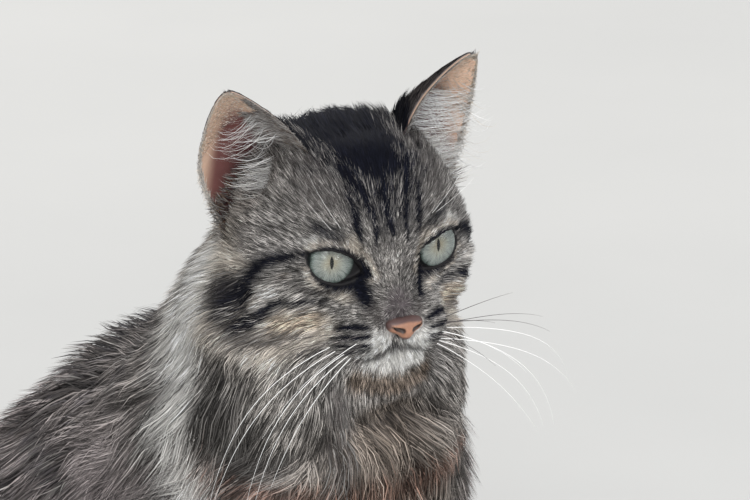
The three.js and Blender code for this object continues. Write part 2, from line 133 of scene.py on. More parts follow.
# Each lamp: its place from the pupils in metres, its size, its power and its tint.
LAMPS = {
    "window": {"place": (-1.2, -1.5, 1.6), "size": 0.8, "power": 40, "tint": (1.0, 0.99, 0.97)},
    "fill": {"place": (1.8, -1.6, 0.9), "size": 1.6, "power": 20, "tint": (0.97, 0.98, 1.0)},
    "rim": {"place": (0.9, 1.7, 1.5), "size": 1.2, "power": 34, "tint": (1.0, 0.98, 0.95)},
    "left_pane": {"place": (-1.43, -1.61, 0.46), "size": 0.5, "power": 9, "tint": (0.95, 0.98, 1.0)},
    "right_pane": {"place": (0.07, -2.19, 0.19), "size": 0.5, "power": 9, "tint": (0.95, 0.98, 1.0)},
}
for name, lamp in LAMPS.items():
    light = bpy.data.objects.new(f"lamp_{name}", bpy.data.lights.new(f"lamp_{name}", "AREA"))
    bpy.context.scene.collection.objects.link(light)
    light.data.energy = lamp["power"]
    light.data.size = lamp["size"]
    light.data.color = lamp["tint"]
    light.location = pupils_middle + Vector(lamp["place"])
    light.rotation_euler = Vector(lamp["place"]).to_track_quat("Z", "Y").to_euler()

sky = bpy.data.worlds.new("sky")
sky.use_nodes = True
sky.node_tree.nodes["Background"].inputs["Color"].default_value = (0.86, 0.89, 0.93, 1)
sky.node_tree.nodes["Background"].inputs["Strength"].default_value = 0.55
bpy.context.scene.world = sky
bpy.context.scene.view_settings.view_transform = "Standard"


# ---- Flesh under the coat -----------------------------------------------------------------------
# The cat's body in round masses, in millimetres from a point on the floor under its withers: x to
# its left, y backward, z up. The same masses as the solid model's, whose outline is the tips of
# the coat, so the skin is this outline less the depth of the coat.

EYE_HEIGHT = 305
EYE_FRONT = -95
FAR = 1000.0  # mm: beyond anything on the cat

HEAD = {
    "cranium": ((0, 38, 13), (43, 43, 33)),
    "forehead": ((0, 14, 13), (28, 20, 24)),
    "cheek": ((27, 30, -11), (25, 27, 28)),
    "jaw": ((0, 16, -24), (26, 24, 18)),
    "pad": ((9.5, -4, -27.5), (13, 13, 10)),
    "chin": ((0, -3, -38), (12, 10, 8.5)),
    "orbit": ((23, -4, 0), (10, 9, 8.5)),
}
SPINE = [
    ((0, -52, 288), 43),
    ((0, -42, 240), 57),
    ((0, -20, 197), 66),
    ((-5, 32, 170), 64),
    ((-14, 84, 122), 67),
    ((-17, 110, 78), 70),
]
FORELEG = [((37, -16, 150), 32), ((34, -26, 105), 24), ((32, -42, 52), 17.5), ((32, -50, 22), 17)]
TOE = {"places": (-1.5, -0.5, 0.5, 1.5), "radii": (6.8, 11, 8.5), "apart": 11, "back": 2, "low": 2}
TAIL_PATH = [(-16, 168), (24, 198), (84, 187), (124, 140), (135, 80), (131, 24), (114, -18)]
TAIL = {"root": 24, "full": 27, "tip": 9, "filled": 0.33, "narrows": 0.6, "lift": 20, "landed": 0.25}
TAIL_SINK = 1.5
TAIL_STATIONS = 24


def clamp(values, low, high):
    return np.minimum(np.maximum(values, low), high)


def egg(at, radii):
    """Distance to an egg-shaped mass, below zero inside it."""

    def field(x, y, z):
        dx, dy, dz = (x - at[0]) / radii[0], (y - at[1]) / radii[1], (z - at[2]) / radii[2]
        near = np.sqrt(dx * dx + dy * dy + dz * dz)
        slope = np.sqrt((dx / radii[0]) ** 2 + (dy / radii[1]) ** 2 + (dz / radii[2]) ** 2)
        return near * (near - 1) / np.maximum(slope, 1e-6)

    return field


def limb(start, end, radius, tip):
    """Distance to a limb that narrows from one end to the other."""
    way = np.subtract(end, start).astype(np.float32)
    square = float(way @ way)

    def field(x, y, z):
        dx, dy, dz = x - start[0], y - start[1], z - start[2]
        along = clamp((dx * way[0] + dy * way[1] + dz * way[2]) / square, 0, 1)
        off = np.sqrt((dx - along * way[0]) ** 2 + (dy - along * way[1]) ** 2 + (dz - along * way[2]) ** 2)
        return off - (radius + (tip - radius) * along)

    return field


def fillet(a, b, size):
    mix = np.maximum(size - np.abs(a - b), 0) / size
    return np.minimum(a, b) - mix * mix * size / 4


def blended(fields, size):
    def field(x, y, z):
        total = fields[0](x, y, z)
        for other in fields[1:]:
            total = fillet(total, other(x, y, z), size)
        return total

    return field


def chain(stations, size):
    pairs = zip(stations[:-1], stations[1:])
    return blended([limb(a, b, ra, rb) for (a, ra), (b, rb) in pairs], size)


def paired(field):
    return lambda x, y, z: field(np.abs(x), y, z)


def in_head(x, y, z):
    """The same place from the middle of the pupils: x to the head's left, y backward, z up."""
    cos, sin = math.cos(HEAD_TURN), math.sin(HEAD_TURN)
    back = y - EYE_FRONT
    return cos * x + sin * back, cos * back - sin * x, z - EYE_HEIGHT


def from_head(points):
    """Places in the head's frame, as seen from the body's."""
    cos, sin = math.cos(HEAD_TURN), math.sin(HEAD_TURN)
    x, y, z = np.asarray(points, float).T
    return np.stack([cos * x - sin * y, sin * x + cos * y + EYE_FRONT, z + EYE_HEIGHT], 1)


skull = blended([egg(*HEAD["cranium"]), paired(egg(*HEAD["cheek"])), egg(*HEAD["forehead"]),
                 egg(*HEAD["jaw"])], 14)
muzzle = blended([limb((0, 2, 4), (0, -8.5, -14), 9, 7.5), paired(egg(*HEAD["pad"])),
                  egg(*HEAD["chin"])], 6)
orbit = paired(egg(*HEAD["orbit"]))


def face_mass(x, y, z):
    flesh = fillet(skull(x, y, z), muzzle(x, y, z), 14)
    return -fillet(-flesh, orbit(x, y, z), 4)


def paw(at, radii, reach):
    toes = [egg((at[0] + place * TOE["apart"], at[1] - reach + abs(place) * TOE["back"],
                 at[2] - TOE["low"]), TOE["radii"]) for place in TOE["places"]]
    return blended([egg(at, radii), *toes], 4)


legs = paired(blended([
    chain(FORELEG, 10),
    paw((32, -62, 12), (19, 25, 14), 17),
    limb((68, 126, 19), (72, 30, 15), 19, 16),
    paw((73, 10, 12), (20, 25, 14), 18),
], 10))
torso = blended([
    chain(SPINE, 30),
    limb((0, -52, 236), (0, -46, 172), 48, 42),
    paired(egg((40, -24, 165), (30, 42, 52))),
    egg((-8, 74, 62), (60, 66, 64)),
    paired(egg((63, 84, 74), (36, 76, 64))),
    paired(limb((72, 36, 50), (68, 122, 24), 26, 22)),
], 30)


def tail_radius(along):
    full = TAIL["root"] + (TAIL["full"] - TAIL["root"]) * np.minimum(along / TAIL["filled"], 1)
    beyond = clamp((along - TAIL["narrows"]) / (1 - TAIL["narrows"]), 0, 1)
    return np.where(along < TAIL["narrows"], full,
                    TAIL["tip"] + (TAIL["full"] - TAIL["tip"]) * np.sqrt(1 - beyond * beyond))


def smooth_path(points, count):
    """Evenly spaced places on a smooth curve through the points."""
    ends = [2 * np.array(points[0]) - points[1], *map(np.array, points),
            2 * np.array(points[-1]) - points[-2]]
    dense = []
    for a, b, c, d in zip(ends[:-3], ends[1:-2], ends[2:-1], ends[3:]):
        for t in np.linspace(0, 1, 20, endpoint=False):
            dense.append(0.5 * (2 * b + (c - a) * t + (2 * a - 5 * b + 4 * c - d) * t * t
                                + (3 * b - a - 3 * c + d) * t ** 3))
    dense = np.array([*dense, ends[-2]], float)
    length = np.concatenate([[0], np.cumsum(np.linalg.norm(np.diff(dense, axis=0), axis=1))])
    wanted = np.linspace(0, length[-1], count)
    return np.stack([np.interp(wanted, length, column) for column in dense.T], 1)


tail_shares = np.linspace(0, 1, TAIL_STATIONS + 1)
tail_coat_radii = tail_radius(tail_shares)
tail_heights = tail_coat_radii - TAIL_SINK + TAIL["lift"] * np.maximum(1 - tail_shares / TAIL["landed"], 0)
tail_line = np.column_stack([smooth_path(TAIL_PATH, TAIL_STATIONS + 1), tail_heights])
TAIL_FLESH = (10.5, 4.5)  # radii of the tail without its coat, at its root and its tip
tail_flesh_radii = TAIL_FLESH[0] + (TAIL_FLESH[1] - TAIL_FLESH[0]) * tail_shares
tail_flesh = chain([((-16, 120, 62), 26), ((-16, 146, 50), 15),
                    *zip(tail_line.tolist(), tail_flesh_radii.tolist())], 8)

# The depth of the coat and the way it lies, at named places on the body. Between them both
# change gradually. Head places are in the head's frame.
HEAD_COAT = {
    "nose_bridge": ((0, -9, -12), 1.2),
    "whisker_pad": ((11, -15, -27), 1.8),
    "chin": ((0, -11, -41), 3.0),
    "stop": ((0, -6, 4), 1.8),
    "lids": ((22, -4, 0), 1.2),
    "brow": ((20, 0, 14), 3.0),
    "temple": ((38, 12, 4), 4.0),
    "forehead": ((0, 2, 28), 4.5),
    "crown": ((0, 36, 46), 8.0),
    "cheek": ((38, 12, -16), 5.5),
    "jowl": ((48, 32, -18), 11.0),
    "under_jaw": ((14, 16, -42), 9.0),
    "nape": ((0, 72, 26), 14.0),
}
BODY_COAT = {
    "throat": ((0, -98, 232), 20, (0, -0.15, -1)),
    "ruff": ((58, -52, 238), 22, (0.25, 0.35, -1)),
    "bib": ((0, -100, 185), 22, (0, 0.1, -1)),
    "withers": ((0, 34, 232), 17, (0, 1, -0.7)),
    "shoulder": ((64, -20, 180), 17, (0.1, 0.75, -1)),
    "back": ((-12, 128, 168), 16, (0, 0.75, -1)),
    "flank": ((60, 40, 140), 16, (0.1, 0.8, -1)),
    "rump": ((-17, 170, 96), 17, (0, 0.4, -1)),
    "haunch": ((92, 84, 84), 13, (0.1, 0.6, -1)),
    "belly": ((20, 10, 90), 12, (0, 0, -1)),
    "elbow": ((42, -10, 128), 11, (0, 0.3, -1)),
    "foreleg": ((34, -36, 74), 5.5, (0, 0.1, -1)),
    "wrist": ((32, -50, 34), 3.6, (0, -0.1, -1)),
    "forepaw": ((32, -74, 12), 2.6, (0, -1, -0.35)),
    "hock": ((70, 120, 24), 6, (0, 0.7, -1)),
    "hind_foot": ((72, 60, 18), 4, (0, -1, -0.2)),
    "hind_paw": ((73, 2, 12), 2.8, (0, -1, -0.35)),
}
PLACE_SPREAD = 30  # square mm: how gradually one place gives way to the next
coat_places = []
for name, (place, depth) in HEAD_COAT.items():
    for side in (1, -1) if place[0] else (1,):
        at = from_head([(place[0] * side, place[1], place[2])])[0]
        coat_places.append((name, at, depth, (0, 0, 0)))
for name, (place, depth, lie) in BODY_COAT.items():
    for side in (1, -1) if place[0] > 18 else (1,):
        at = np.array((place[0] * side, place[1], place[2]), float)
        coat_places.append((name, at, depth, (lie[0] * side, lie[1], lie[2])))


def place_weights(x, y, z):
    """How much each named place counts at a point, near ones most."""
    for index, (_, at, _, _) in enumerate(coat_places):
        square = (x - at[0]) ** 2 + (y - at[1]) ** 2 + (z - at[2]) ** 2
        yield index, 1 / (square + PLACE_SPREAD) ** 2


def coat_depth(x, y, z):
    total, weight = 0, 0
    for index, share in place_weights(x, y, z):
        total = total + share * coat_places[index][2]
        weight = weight + share
    return total / weight


# Eyeballs and the almond openings of the lids, in each eye's own frame: across toward the outer
# corner, up, and out along the way it looks.
EYE = {"apart": 22.2, "sunk": 6.4, "radius": 10.5}
EYE_SPLAY = math.radians(12)
LID = {"thick": 1.3, "slant": math.radians(22), "inner": 13.0, "outer": 10.2, "upper": 5.0, "lower": 6.9,
       "floor": 5.0}
GLOBE_AT = (EYE["apart"] - EYE["sunk"] * math.sin(EYE_SPLAY), EYE["sunk"] * math.cos(EYE_SPLAY), 0)


def in_eye(x, y, z):
    dx, dy = x - GLOBE_AT[0], y - GLOBE_AT[1]
    across = math.cos(EYE_SPLAY) * dx + math.sin(EYE_SPLAY) * dy
    out = math.sin(EYE_SPLAY) * dx - math.cos(EYE_SPLAY) * dy
    return across, z, out


def lid_opening(across, up):
    """Distance in the eye's plane from the edge of the opening, below zero inside it."""
    cos, sin = math.cos(LID["slant"]), math.sin(LID["slant"])
    along = cos * across + sin * up
    along = np.where(along > 0, along / LID["outer"], -along / LID["inner"])
    over = cos * up - sin * across
    upper = LID["upper"] * (1 - along ** 2.3)
    lower = -LID["lower"] * (1 - along ** 2.7)
    return 0.85 * np.maximum(over - upper, lower - over)


def eye_gap(x, y, z):
    """The space that the lids leave open over an eyeball."""
    across, up, out = in_eye(x, y, z)
    return np.maximum(lid_opening(across, up), LID["floor"] - out)


MOUTH_LINE = [(0, -15, -31.5), (3.4, -15, -34), (8.6, -14.5, -35.9), (15, -9, -37.5), (21, -2, -37)]
PHILTRUM_LINE = [(0, -16, -27.5), (0, -15.5, -31.5)]
lid_balls = paired(egg(GLOBE_AT, [EYE["radius"] + LID["thick"]] * 3))
eye_gaps = paired(eye_gap)
ear_bowls = paired(egg((36, 36, 25), (12.5, 11, 14)))
BOWL_LIP = 34  # mm from the middle of the head: hair covers the bowls nearer than this


def flesh_field(x, y, z):
    """Height above the flesh, before the openings of the face are cut into it."""
    depth = coat_depth(x, y, z)
    face = fillet(face_mass(*in_head(x, y, z)) + depth, lid_balls(*in_head(x, y, z)), 4)
    trunk = fillet(torso(x, y, z) + depth, face, 10)
    body = fillet(trunk, legs(x, y, z) + depth, 14)
    return fillet(body, tail_flesh(x, y, z), 10)


def ruler(*stretches):
    """Marks along an axis: from each (start, step) to the next start."""
    marks = []
    for (start, step), (end, _) in zip(stretches[:-1], stretches[1:]):
        count = max(int(round((end - start) / step)), 1)
        marks.append(np.linspace(start, end, count, endpoint=False))
    return np.concatenate([*marks, [stretches[-1][0]]]).astype(np.float32)


GRID = (
    ruler((-108, 4), (-54, 1.0), (54, 4), (158, 0)),
    ruler((-132, 2.5), (-122, 0.9), (-76, 1.5), (-40, 4), (220, 0)),
    ruler((-6, 3.5), (246, 1.5), (258, 0.9), (322, 1.5), (356, 0)),
)


def surface_of(field, axes):
    """The closed surface where the field is zero, as corners, four-sided faces and the grid."""
    xs, ys, zs = axes
    values = field(xs[:, None, None], ys[None, :, None], zs[None, None, :]).astype(np.float32)
    values = np.ascontiguousarray(np.broadcast_to(values, (len(xs), len(ys), len(zs))))
    inside = values < 0
    shape = tuple(n - 1 for n in values.shape)
    corners = [(i, j, k) for i in (0, 1) for j in (0, 1) for k in (0, 1)]
    count = sum(inside[i:i + shape[0], j:j + shape[1], k:k + shape[2]].astype(np.uint8)
                for i, j, k in corners)
    cells = np.argwhere((count > 0) & (count < 8))
    number = np.full(shape, -1, np.int64)
    number[tuple(cells.T)] = np.arange(len(cells))
    total, crossings = np.zeros((len(cells), 3)), np.zeros(len(cells))
    for a in corners:
        for axis in range(3):
            if a[axis]:
                continue
            b = tuple(v + (n == axis) for n, v in enumerate(a))
            va, vb = values[tuple((cells + a).T)], values[tuple((cells + b).T)]
            crossed = (va < 0) != (vb < 0)
            along = np.where(crossed, va / np.where(crossed, va - vb, 1), 0)
            spot = np.array(a, float) + along[:, None] * (np.arange(3) == axis)
            total += crossed[:, None] * spot
            crossings += crossed
    local = total / crossings[:, None]
    points = np.stack([axes[n][cells[:, n]] + local[:, n] * np.diff(axes[n])[cells[:, n]]
                       for n in range(3)], 1)
    faces = []
    for axis in range(3):
        u, v = (axis + 1) % 3, (axis + 2) % 3
        low = [slice(1, n) for n in shape]
        low[axis] = slice(0, shape[axis])
        high = list(low)
        high[axis] = slice(1, shape[axis] + 1)
        here, there = inside[tuple(low)], inside[tuple(high)]
        edges = np.argwhere(here != there) + [int(n != axis) for n in range(3)]
        outward = inside[tuple(edges.T)]
        step_u, step_v = np.eye(3, dtype=int)[u], np.eye(3, dtype=int)[v]
        ring = np.stack([number[tuple((edges - off).T)]
                         for off in (step_u + step_v, step_v, 0 * step_u, step_u)], 1)
        ring[~outward] = ring[~outward][:, ::-1]
        faces.append(ring)
    return points, np.concatenate(faces), values


def slope_of(field, points, reach):
    """The way straight up from a field's surface at each point, and how steep the field is."""
    sides = []
    for axis in range(3):
        step = np.eye(3)[axis] * reach
        ahead, behind = (points + step).T, (points - step).T
        sides.append((field(*ahead) - field(*behind)) / (2 * reach))
    slope = np.stack(sides, 1)
    steep = np.linalg.norm(slope, axis=1)
    return slope / np.maximum(steep, 1e-6)[:, None], steep


def settle(field, points, reach, most, rounds=2):
    """Moves points straight onto the surface of a field."""
    for _ in range(rounds):
        upward, steep = slope_of(field, points, reach)
        way = clamp(field(*points.T) / np.maximum(steep, 0.3), -most, most)
        points = points - upward * way[:, None]
    return points


def groove(line, radii):
    """A furrow along a line of the head, laid on the surface of the flesh."""
    places = from_head(line)
    for _ in range(3):
        places = settle(flesh_field, places, 0.5, 6)
    x, y, z = in_head(*places.T)
    return chain(list(zip(zip(x, y, z), radii)), 0.5)


mouth_groove = paired(groove(MOUTH_LINE, (0.9, 0.9, 0.85, 0.7, 0.4)))
philtrum = groove(PHILTRUM_LINE, (0.6, 0.8))


def skin_field(x, y, z):
    """Height above the skin, below zero inside the body."""
    head = in_head(x, y, z)
    body = flesh_field(x, y, z)
    for hollow in (eye_gaps, mouth_groove, philtrum):
        body = -fillet(-body, hollow(*head), 0.6)
    return -fillet(-body, ear_bowls(*head), 4)


skin_points, skin_faces, skin_grid = surface_of(skin_field, GRID)


def sample_grid(points):
    """Height above the skin, read off its grid."""
    low, share = [], []
    for axis, marks in enumerate(GRID):
        cell = clamp(np.searchsorted(marks, points[:, axis], "right") - 1, 0, len(marks) - 2)
        low.append(cell)
        share.append(clamp((points[:, axis] - marks[cell]) / (marks[cell + 1] - marks[cell]), 0, 1))
    total = np.zeros(len(points))
    for i in (0, 1):
        for j in (0, 1):
            for k in (0, 1):
                part = np.ones(len(points))
                for here, on in zip(share, (i, j, k)):
                    part = part * (here if on else 1 - here)
                total += part * skin_grid[low[0] + i, low[1] + j, low[2] + k]
    return total


def grid_field(x, y, z):
    return sample_grid(np.stack([x, y, z], 1))


def up_from_skin(points, reach=1.6):
    return slope_of(grid_field, points, reach)[0]


def outline_field(x, y, z):
    """Height above the tips of the coat."""
    return grid_field(x, y, z) - coat_depth(x, y, z)


skin_points = settle(skin_field, skin_points, 0.25, 0.6)


# ---- Ears ---------------------------------------------------------------------------------------
# Each ear is a thin cup of gristle between two edges that meet at the tip, open to the front and
# rooted in the head. The right one is turned further out. They are one piece with the skin.

EARS = {
    "left": {"inner": (19, 24, 34), "outer": (48, 39, 14), "tip": (52, 26, 63.6),
             "bows": (4, 2), "deep": 16, "furnished": 2.4, "reach": 1.0, "fringed": 1.0},
    "right": {"inner": (19, 24, 34), "outer": (51, 42, 13), "tip": (52, 26, 63.4),
              "bows": (2.5, 8.5), "deep": 18, "furnished": 0.9, "reach": 0.72, "fringed": 0.0},
}
SIDES = {"left": 1, "right": -1}
EAR_SKIN = {"thick": 1.7, "rim": 0.9, "rooted": -0.34, "top": 0.97, "rounded": 0.45,
            "rows": 56, "columns": 30}


def ear_frame(name):
    side, ear = SIDES[name], EARS[name]
    flip = np.array([side, 1, 1], float)
    inner, outer, tip = (np.array(ear[key], float) * flip for key in ("inner", "outer", "tip"))
    back = np.cross(outer - inner, tip - inner)
    return inner, outer, tip, -side * back / np.linalg.norm(back)


def ear_sheet(name, rise, share, off):
    """A place on an ear: rise from the root to the tip, share from the front edge to the rear
    one, and off behind the middle of the gristle, in the head's frame."""
    inner, outer, tip, back = ear_frame(name)
    bows, deep = EARS[name]["bows"], EARS[name]["deep"]
    bowed = np.sin(math.pi * rise)[..., None]
    bowed = np.where(rise[..., None] > 0.5, np.abs(bowed) ** EAR_SKIN["rounded"], bowed)
    rise, share = rise[..., None], share[..., None]
    away = np.array([SIDES[name], 0, 0], float)
    front = inner + (tip - inner) * rise - away * bows[0] * bowed
    front = front + np.array([0, 0, bows[0]]) * bowed
    rear = outer + (tip - outer) * rise + away * bows[1] * bowed
    cup = np.sin(math.pi * share) * deep * np.cos(rise * math.pi / 2)
    return front + (rear - front) * share + back * (cup + off[..., None])


def ear_shell(name):
    """Corners and faces of one ear, and which corners are on its inside."""
    rows, columns = EAR_SKIN["rows"], EAR_SKIN["columns"]
    rise = np.linspace(EAR_SKIN["rooted"], EAR_SKIN["top"], rows)[:, None]
    share = np.linspace(0, 1, columns)[None, :]
    rise, share = np.broadcast_arrays(rise, share)
    edge = np.minimum(np.minimum(share, 1 - share) * columns / 3, (EAR_SKIN["top"] - rise) * rows / 2)
    half = (EAR_SKIN["rim"] + (EAR_SKIN["thick"] - EAR_SKIN["rim"]) * clamp(edge, 0, 1)) / 2
    fold = 1.4 * np.exp(-((share - 0.72) / 0.06) ** 2 - ((rise - 0.12) / 0.16) ** 2)
    ridge = 0.9 * np.exp(-((share - 0.3) / 0.07) ** 2 - ((rise - 0.1) / 0.3) ** 2)
    outside = ear_sheet(name, rise, share, half)
    inside = ear_sheet(name, rise, share, -half - fold - ridge)
    ring = np.concatenate([outside, inside[:, ::-1]], 1)
    size = 2 * columns
    points = ring.reshape(-1, 3)
    index = np.arange(rows * size).reshape(rows, size)
    ahead = np.roll(index, -1, axis=1)
    faces = np.stack([index[:-1], ahead[:-1], ahead[1:], index[1:]], -1).reshape(-1, 4)
    caps = []
    for row, turned in ((0, 1), (rows - 1, -1)):
        for i in range(columns - 1):
            cap = [index[row][i], index[row][size - 1 - i], index[row][size - 2 - i], index[row][i + 1]]
            caps.append(cap[::turned])
    faces = np.concatenate([faces, np.array(caps)])
    if SIDES[name] > 0:
        faces = faces[:, ::-1]
    is_inside = np.tile(np.arange(size) >= columns, rows)
    rises = np.repeat(np.linspace(EAR_SKIN["rooted"], EAR_SKIN["top"], rows), size)
    shares = np.tile(np.concatenate([share[0], share[0][::-1]]), rows)
    return from_head(points), faces, is_inside, rises, shares


# ---- Markings of the coat -----------------------------------------------------------------------
# A mackerel tabby: a black cap and five stripes down the forehead, dark lines from the eyes over
# the cheeks, rows of spots on the whisker pads, pale rims round the eyes, and narrow bars round
# body, legs and tail. Skin and coat take their colours from the same strokes and grounds.

PALETTE = {
    "white": (0.86, 0.84, 0.80),
    "cream": (0.72, 0.64, 0.55),
    "pale": (0.48, 0.453, 0.425),
    "buff": (0.56, 0.42, 0.29),
    "grey": (0.315, 0.297, 0.282),
    "ticked": (0.40, 0.377, 0.355),
    "fawn": (0.18, 0.147, 0.122),
    "drab": (0.20, 0.187, 0.176),
    "ash": (0.115, 0.113, 0.113),
    "mauve": (0.155, 0.132, 0.138),
    "heather": (0.37, 0.32, 0.315),
    "brown": (0.20, 0.145, 0.105),
    "russet": (0.20, 0.10, 0.07),
    "dusk": (0.10, 0.088, 0.085),
    "black": (0.008, 0.009, 0.016),
}
GROUNDS = {
    "nose_bridge": "drab", "whisker_pad": "ticked", "chin": "grey", "stop": "ticked", "lids": "ticked",
    "brow": "ticked", "temple": "grey", "forehead": "ash", "crown": "black", "cheek": "pale",
    "jowl": "cream", "under_jaw": "grey", "nape": "dusk", "throat": "fawn", "ruff": "drab",
    "bib": "fawn", "withers": "dusk", "shoulder": "heather", "back": "heather", "flank": "heather",
    "rump": "dusk", "haunch": "brown", "belly": "pale", "elbow": "grey", "foreleg": "grey",
    "wrist": "pale", "forepaw": "pale", "hock": "grey", "hind_foot": "grey", "hind_paw": "pale",
}
FACE_MIDDLE = -1.5  # the face's markings run a little to the right of its middle

# Strokes of colour on the tips of the coat: colour, strength, and places with half widths. The
# paired, middle, pale and lip ones are in the head's frame, and all but the middle ones on its left.
PAIRED_STROKES = [
    ("black", 1.0, [(13.5, 4, 36, 3), (8.6, -4, 26, 2.2), (6.6, -8, 18, 1.9), (6.4, -9.5, 12, 1.4),
     (7, -9.7, 7, 0.8)]),
    ("black", 1.0, [(14.8, -2, 27, 1.4), (13.2, -5.5, 20, 2), (13, -6.6, 14, 2.1),
     (12.2, -7.4, 8.5, 1.1)]),
    ("black", 0.9, [(28, 0.5, 15.5, 2.4), (22.5, -3, 12.7, 3.1), (18.5, -5, 10.4, 1.9)]),
    ("black", 1.0, [(31, 3.7, 4.3, 1.3), (36, 6, 2.8, 2.4), (43, 11.4, 0.5, 3.2), (47, 14.7, -3, 3.8),
     (50, 18, -8, 3.8)]),
    ("black", 0.95, [(48, 15.5, -4, 3.8), (51, 20, -10, 5.2), (53, 26, -15, 6.4), (55.5, 38, -18, 7.6)]),
    ("black", 0.95, [(50, 18, -8, 3.6), (51, 21, -13, 3.6), (52, 22.5, -17, 3.4),
     (52.5, 22.5, -21, 3.2), (52, 19, -24.5, 2.8)]),
    ("black", 0.88, [(53, 27, -17, 4.6), (55, 31, -22, 4.8), (57, 34, -28, 4.4)]),
    ("black", 0.85, [(15, -6, -10, 1.3), (22, -2.6, -10.7, 1.4), (29, 0.3, -11.5, 1.2)]),
    ("black", 1.0, [(25, -2.6, -15, 1), (31, 0.5, -15.8, 1.6), (37, 3.4, -16.2, 1.6),
     (42, 7, -16.4, 2.1), (45, 10, -19.5, 2.8), (48, 13, -23, 3.1), (52, 18, -25.5, 3.5),
     (56, 26, -26.5, 3.6)]),
    ("brown", 0.6, [(27, -3.4, -19, 0.7), (35, 2, -21, 1)]),
    ("dusk", 0.75, [(33, -1, -27, 1.6), (42, 6, -29, 3), (49, 12, -31, 4), (57, 25, -31, 4.6)]),
    ("brown", 0.6, [(38, 5.8, -5.8, 1.6), (39.5, 6.5, -6, 1.4)]),
    ("dusk", 0.75, [(32.5, 2.3, -8.2, 1.4), (33.5, 3, -8.4, 1.2)]),
    ("dusk", 0.7, [(48, 28, 8, 3), (50, 28, 3, 2.5)]),
    ("black", 1.0, [(13.2, -3, -2.5, 2), (12.9, -5.5, -6.5, 3.8), (12.2, -7.5, -10, 4.7),
     (11.4, -9.3, -13.5, 3.4)]),
    ("dusk", 0.85, [(11.4, -9.3, -13.5, 2.6), (9.8, -12, -17.5, 2.6), (7.6, -14, -20, 2)]),
    ("dusk", 0.85, [(10, -10.5, -15, 1.7), (7.5, -13.6, -18, 1.5), (8.2, -14.5, -21.5, 1.2)]),
    ("black", 1.0, [(24.5, -6.4, -24.2, 1.3), (18.5, -11.4, -22.2, 1.9), (13, -14.8, -22.4, 1.6)]),
    ("black", 1.0, [(25.6, -6.6, -28.2, 1.1), (19, -12, -26.7, 1.6), (13, -16, -26, 1.3)]),
    ("black", 1.0, [(25, -7, -31.6, 1), (19, -12, -30.3, 1.4), (13.2, -15.8, -29.6, 1.2)]),
    ("black", 0.95, [(22.5, -8.6, -34.6, 0.9), (17.5, -12.6, -33.4, 1.3), (12, -15.9, -32, 1)]),
    ("dusk", 0.5, [(24, -3, -11.5, 1.2), (33, 3.5, -10.5, 1.6), (39, 7, -6, 1.2)]),
    ("dusk", 0.7, [(22, 15, 36, 9), (25, 9, 31, 9), (25, 3, 25, 6)]),
]
MIDDLE_STROKES = [
    ("black", 1.0, [(-1, 5, 36, 3.4), (-0.5, -3, 29, 2.2), (-1, -8, 21, 1.9), (-0.3, -10, 14, 1.8),
     (0.4, -10.5, 11, 1)]),
    ("black", 1.0, [(0, 8, 39, 19), (0, 30, 46, 26), (0, 52, 44, 30)]),
    ("dusk", 0.8, [(0, 16, 39, 31), (0, 6, 34, 27), (0, 0, 27, 17)]),
    ("mauve", 0.9, [(0, -14.5, -13, 5), (0, -16.8, -18.5, 7.4)]),
    ("black", 0.8, [(0, 4, 37, 20), (0, -6, 25, 14)]),
    # painted shade: a brown band on the throat under the chin, where the chin's shadow falls
    ("brown", 0.8, [(-14, -4, -48, 4.5), (0, -8, -50.5, 5), (14, -4, -48, 4.5)]),
    ("white", 0.85, [(-9, -12.5, -38.8, 4.6), (0, -14.5, -39.4, 4.8), (9, -12.5, -38.8, 4.6)]),
]
PALE_STROKES = [
    ("white", 0.85, [(11, -14, -30, 6), (6, -17.5, -29, 4.5)]),
    ("cream", 0.6, [(14.6, -6.5, 1, 1.4), (13, -8, 7, 1.6), (15, -6.5, 11, 1.2)]),
    ("cream", 0.6, [(14.5, -7, -12.5, 1.8), (19, -5.5, -13.5, 1.6)]),
    ("cream", 0.8, [(27, -4, -25, 5.5), (38, 3, -28, 7.5), (46, 10, -34, 7.5)]),
    ("buff", 0.55, [(30, -1, -22, 3.6), (42, 6, -25, 4.2)]),
    ("white", 0.45, [(18, -5, 14, 1.4), (25, -1, 12, 1.6), (32, 4, 8, 1.4)]),
]
LIP_STROKE = ("black", 0.75, [(0, -15.4, -32.4, 1.3), (4.8, -15, -34.6, 1.3), (8.6, -14.6, -36.2, 1.2),
              (14, -11, -37.4, 0.8)])
BIB_BAND = ("russet", 0.7, [(-69, -47, 226, 4), (-67, -58, 217, 5), (-61, -69, 212, 6),
            (-49, -84, 208, 6), (-32, -98, 206, 6), (-1, -106, 207, 6), (20, -104, 209, 6),
            (36, -97, 214, 6), (55, -75, 219, 5), (66, -55, 225, 4)])
PARTING_SHADE = ("dusk", 0.8, [(-27, -102, 256, 3), (-26, -104, 248, 4.4), (-22, -106, 238, 4.6),
                 (-20, -107, 227, 4.8), (-24, -103, 213, 5.5)])
LOW_SHADE = ("dusk", 0.6, [(-60, -72, 222, 5), (-53, -82, 219, 6), (-45, -91, 224, 5)])
RUFF_LIGHT = ("white", 0.62, [(48, -20, 282, 14), (55, -18, 268, 14), (60, -22, 255, 12),
              (64, -28, 242, 8), (68, -34, 226, 6)])
RUFF_EDGE = ("white", 0.8, [(42, -30, 292, 10), (55, -34, 272, 11), (62, -34, 259, 10),
             (66, -38, 247, 8), (69, -41, 232, 7.5), (70, -46, 220, 7), (66, -58, 208, 7)])
DORSAL_LINE = ("black", 0.75, [(0, -8, 285, 16), (-3, 36, 240, 14), (-9, 92, 206, 13),
               (-15, 148, 152, 13), (-17, 180, 92, 12)])
SOFT_EDGE = 0.55  # of a stroke's half width
MOTTLES = ((0.24, 15, 3), (0.14, 45, 4))  # strength, size in mm and seed
BAR_STRENGTH = 0.65  # of the bars on body, legs and tail
RIM_STRENGTH = 0.75  # of the pale rims round the eyes
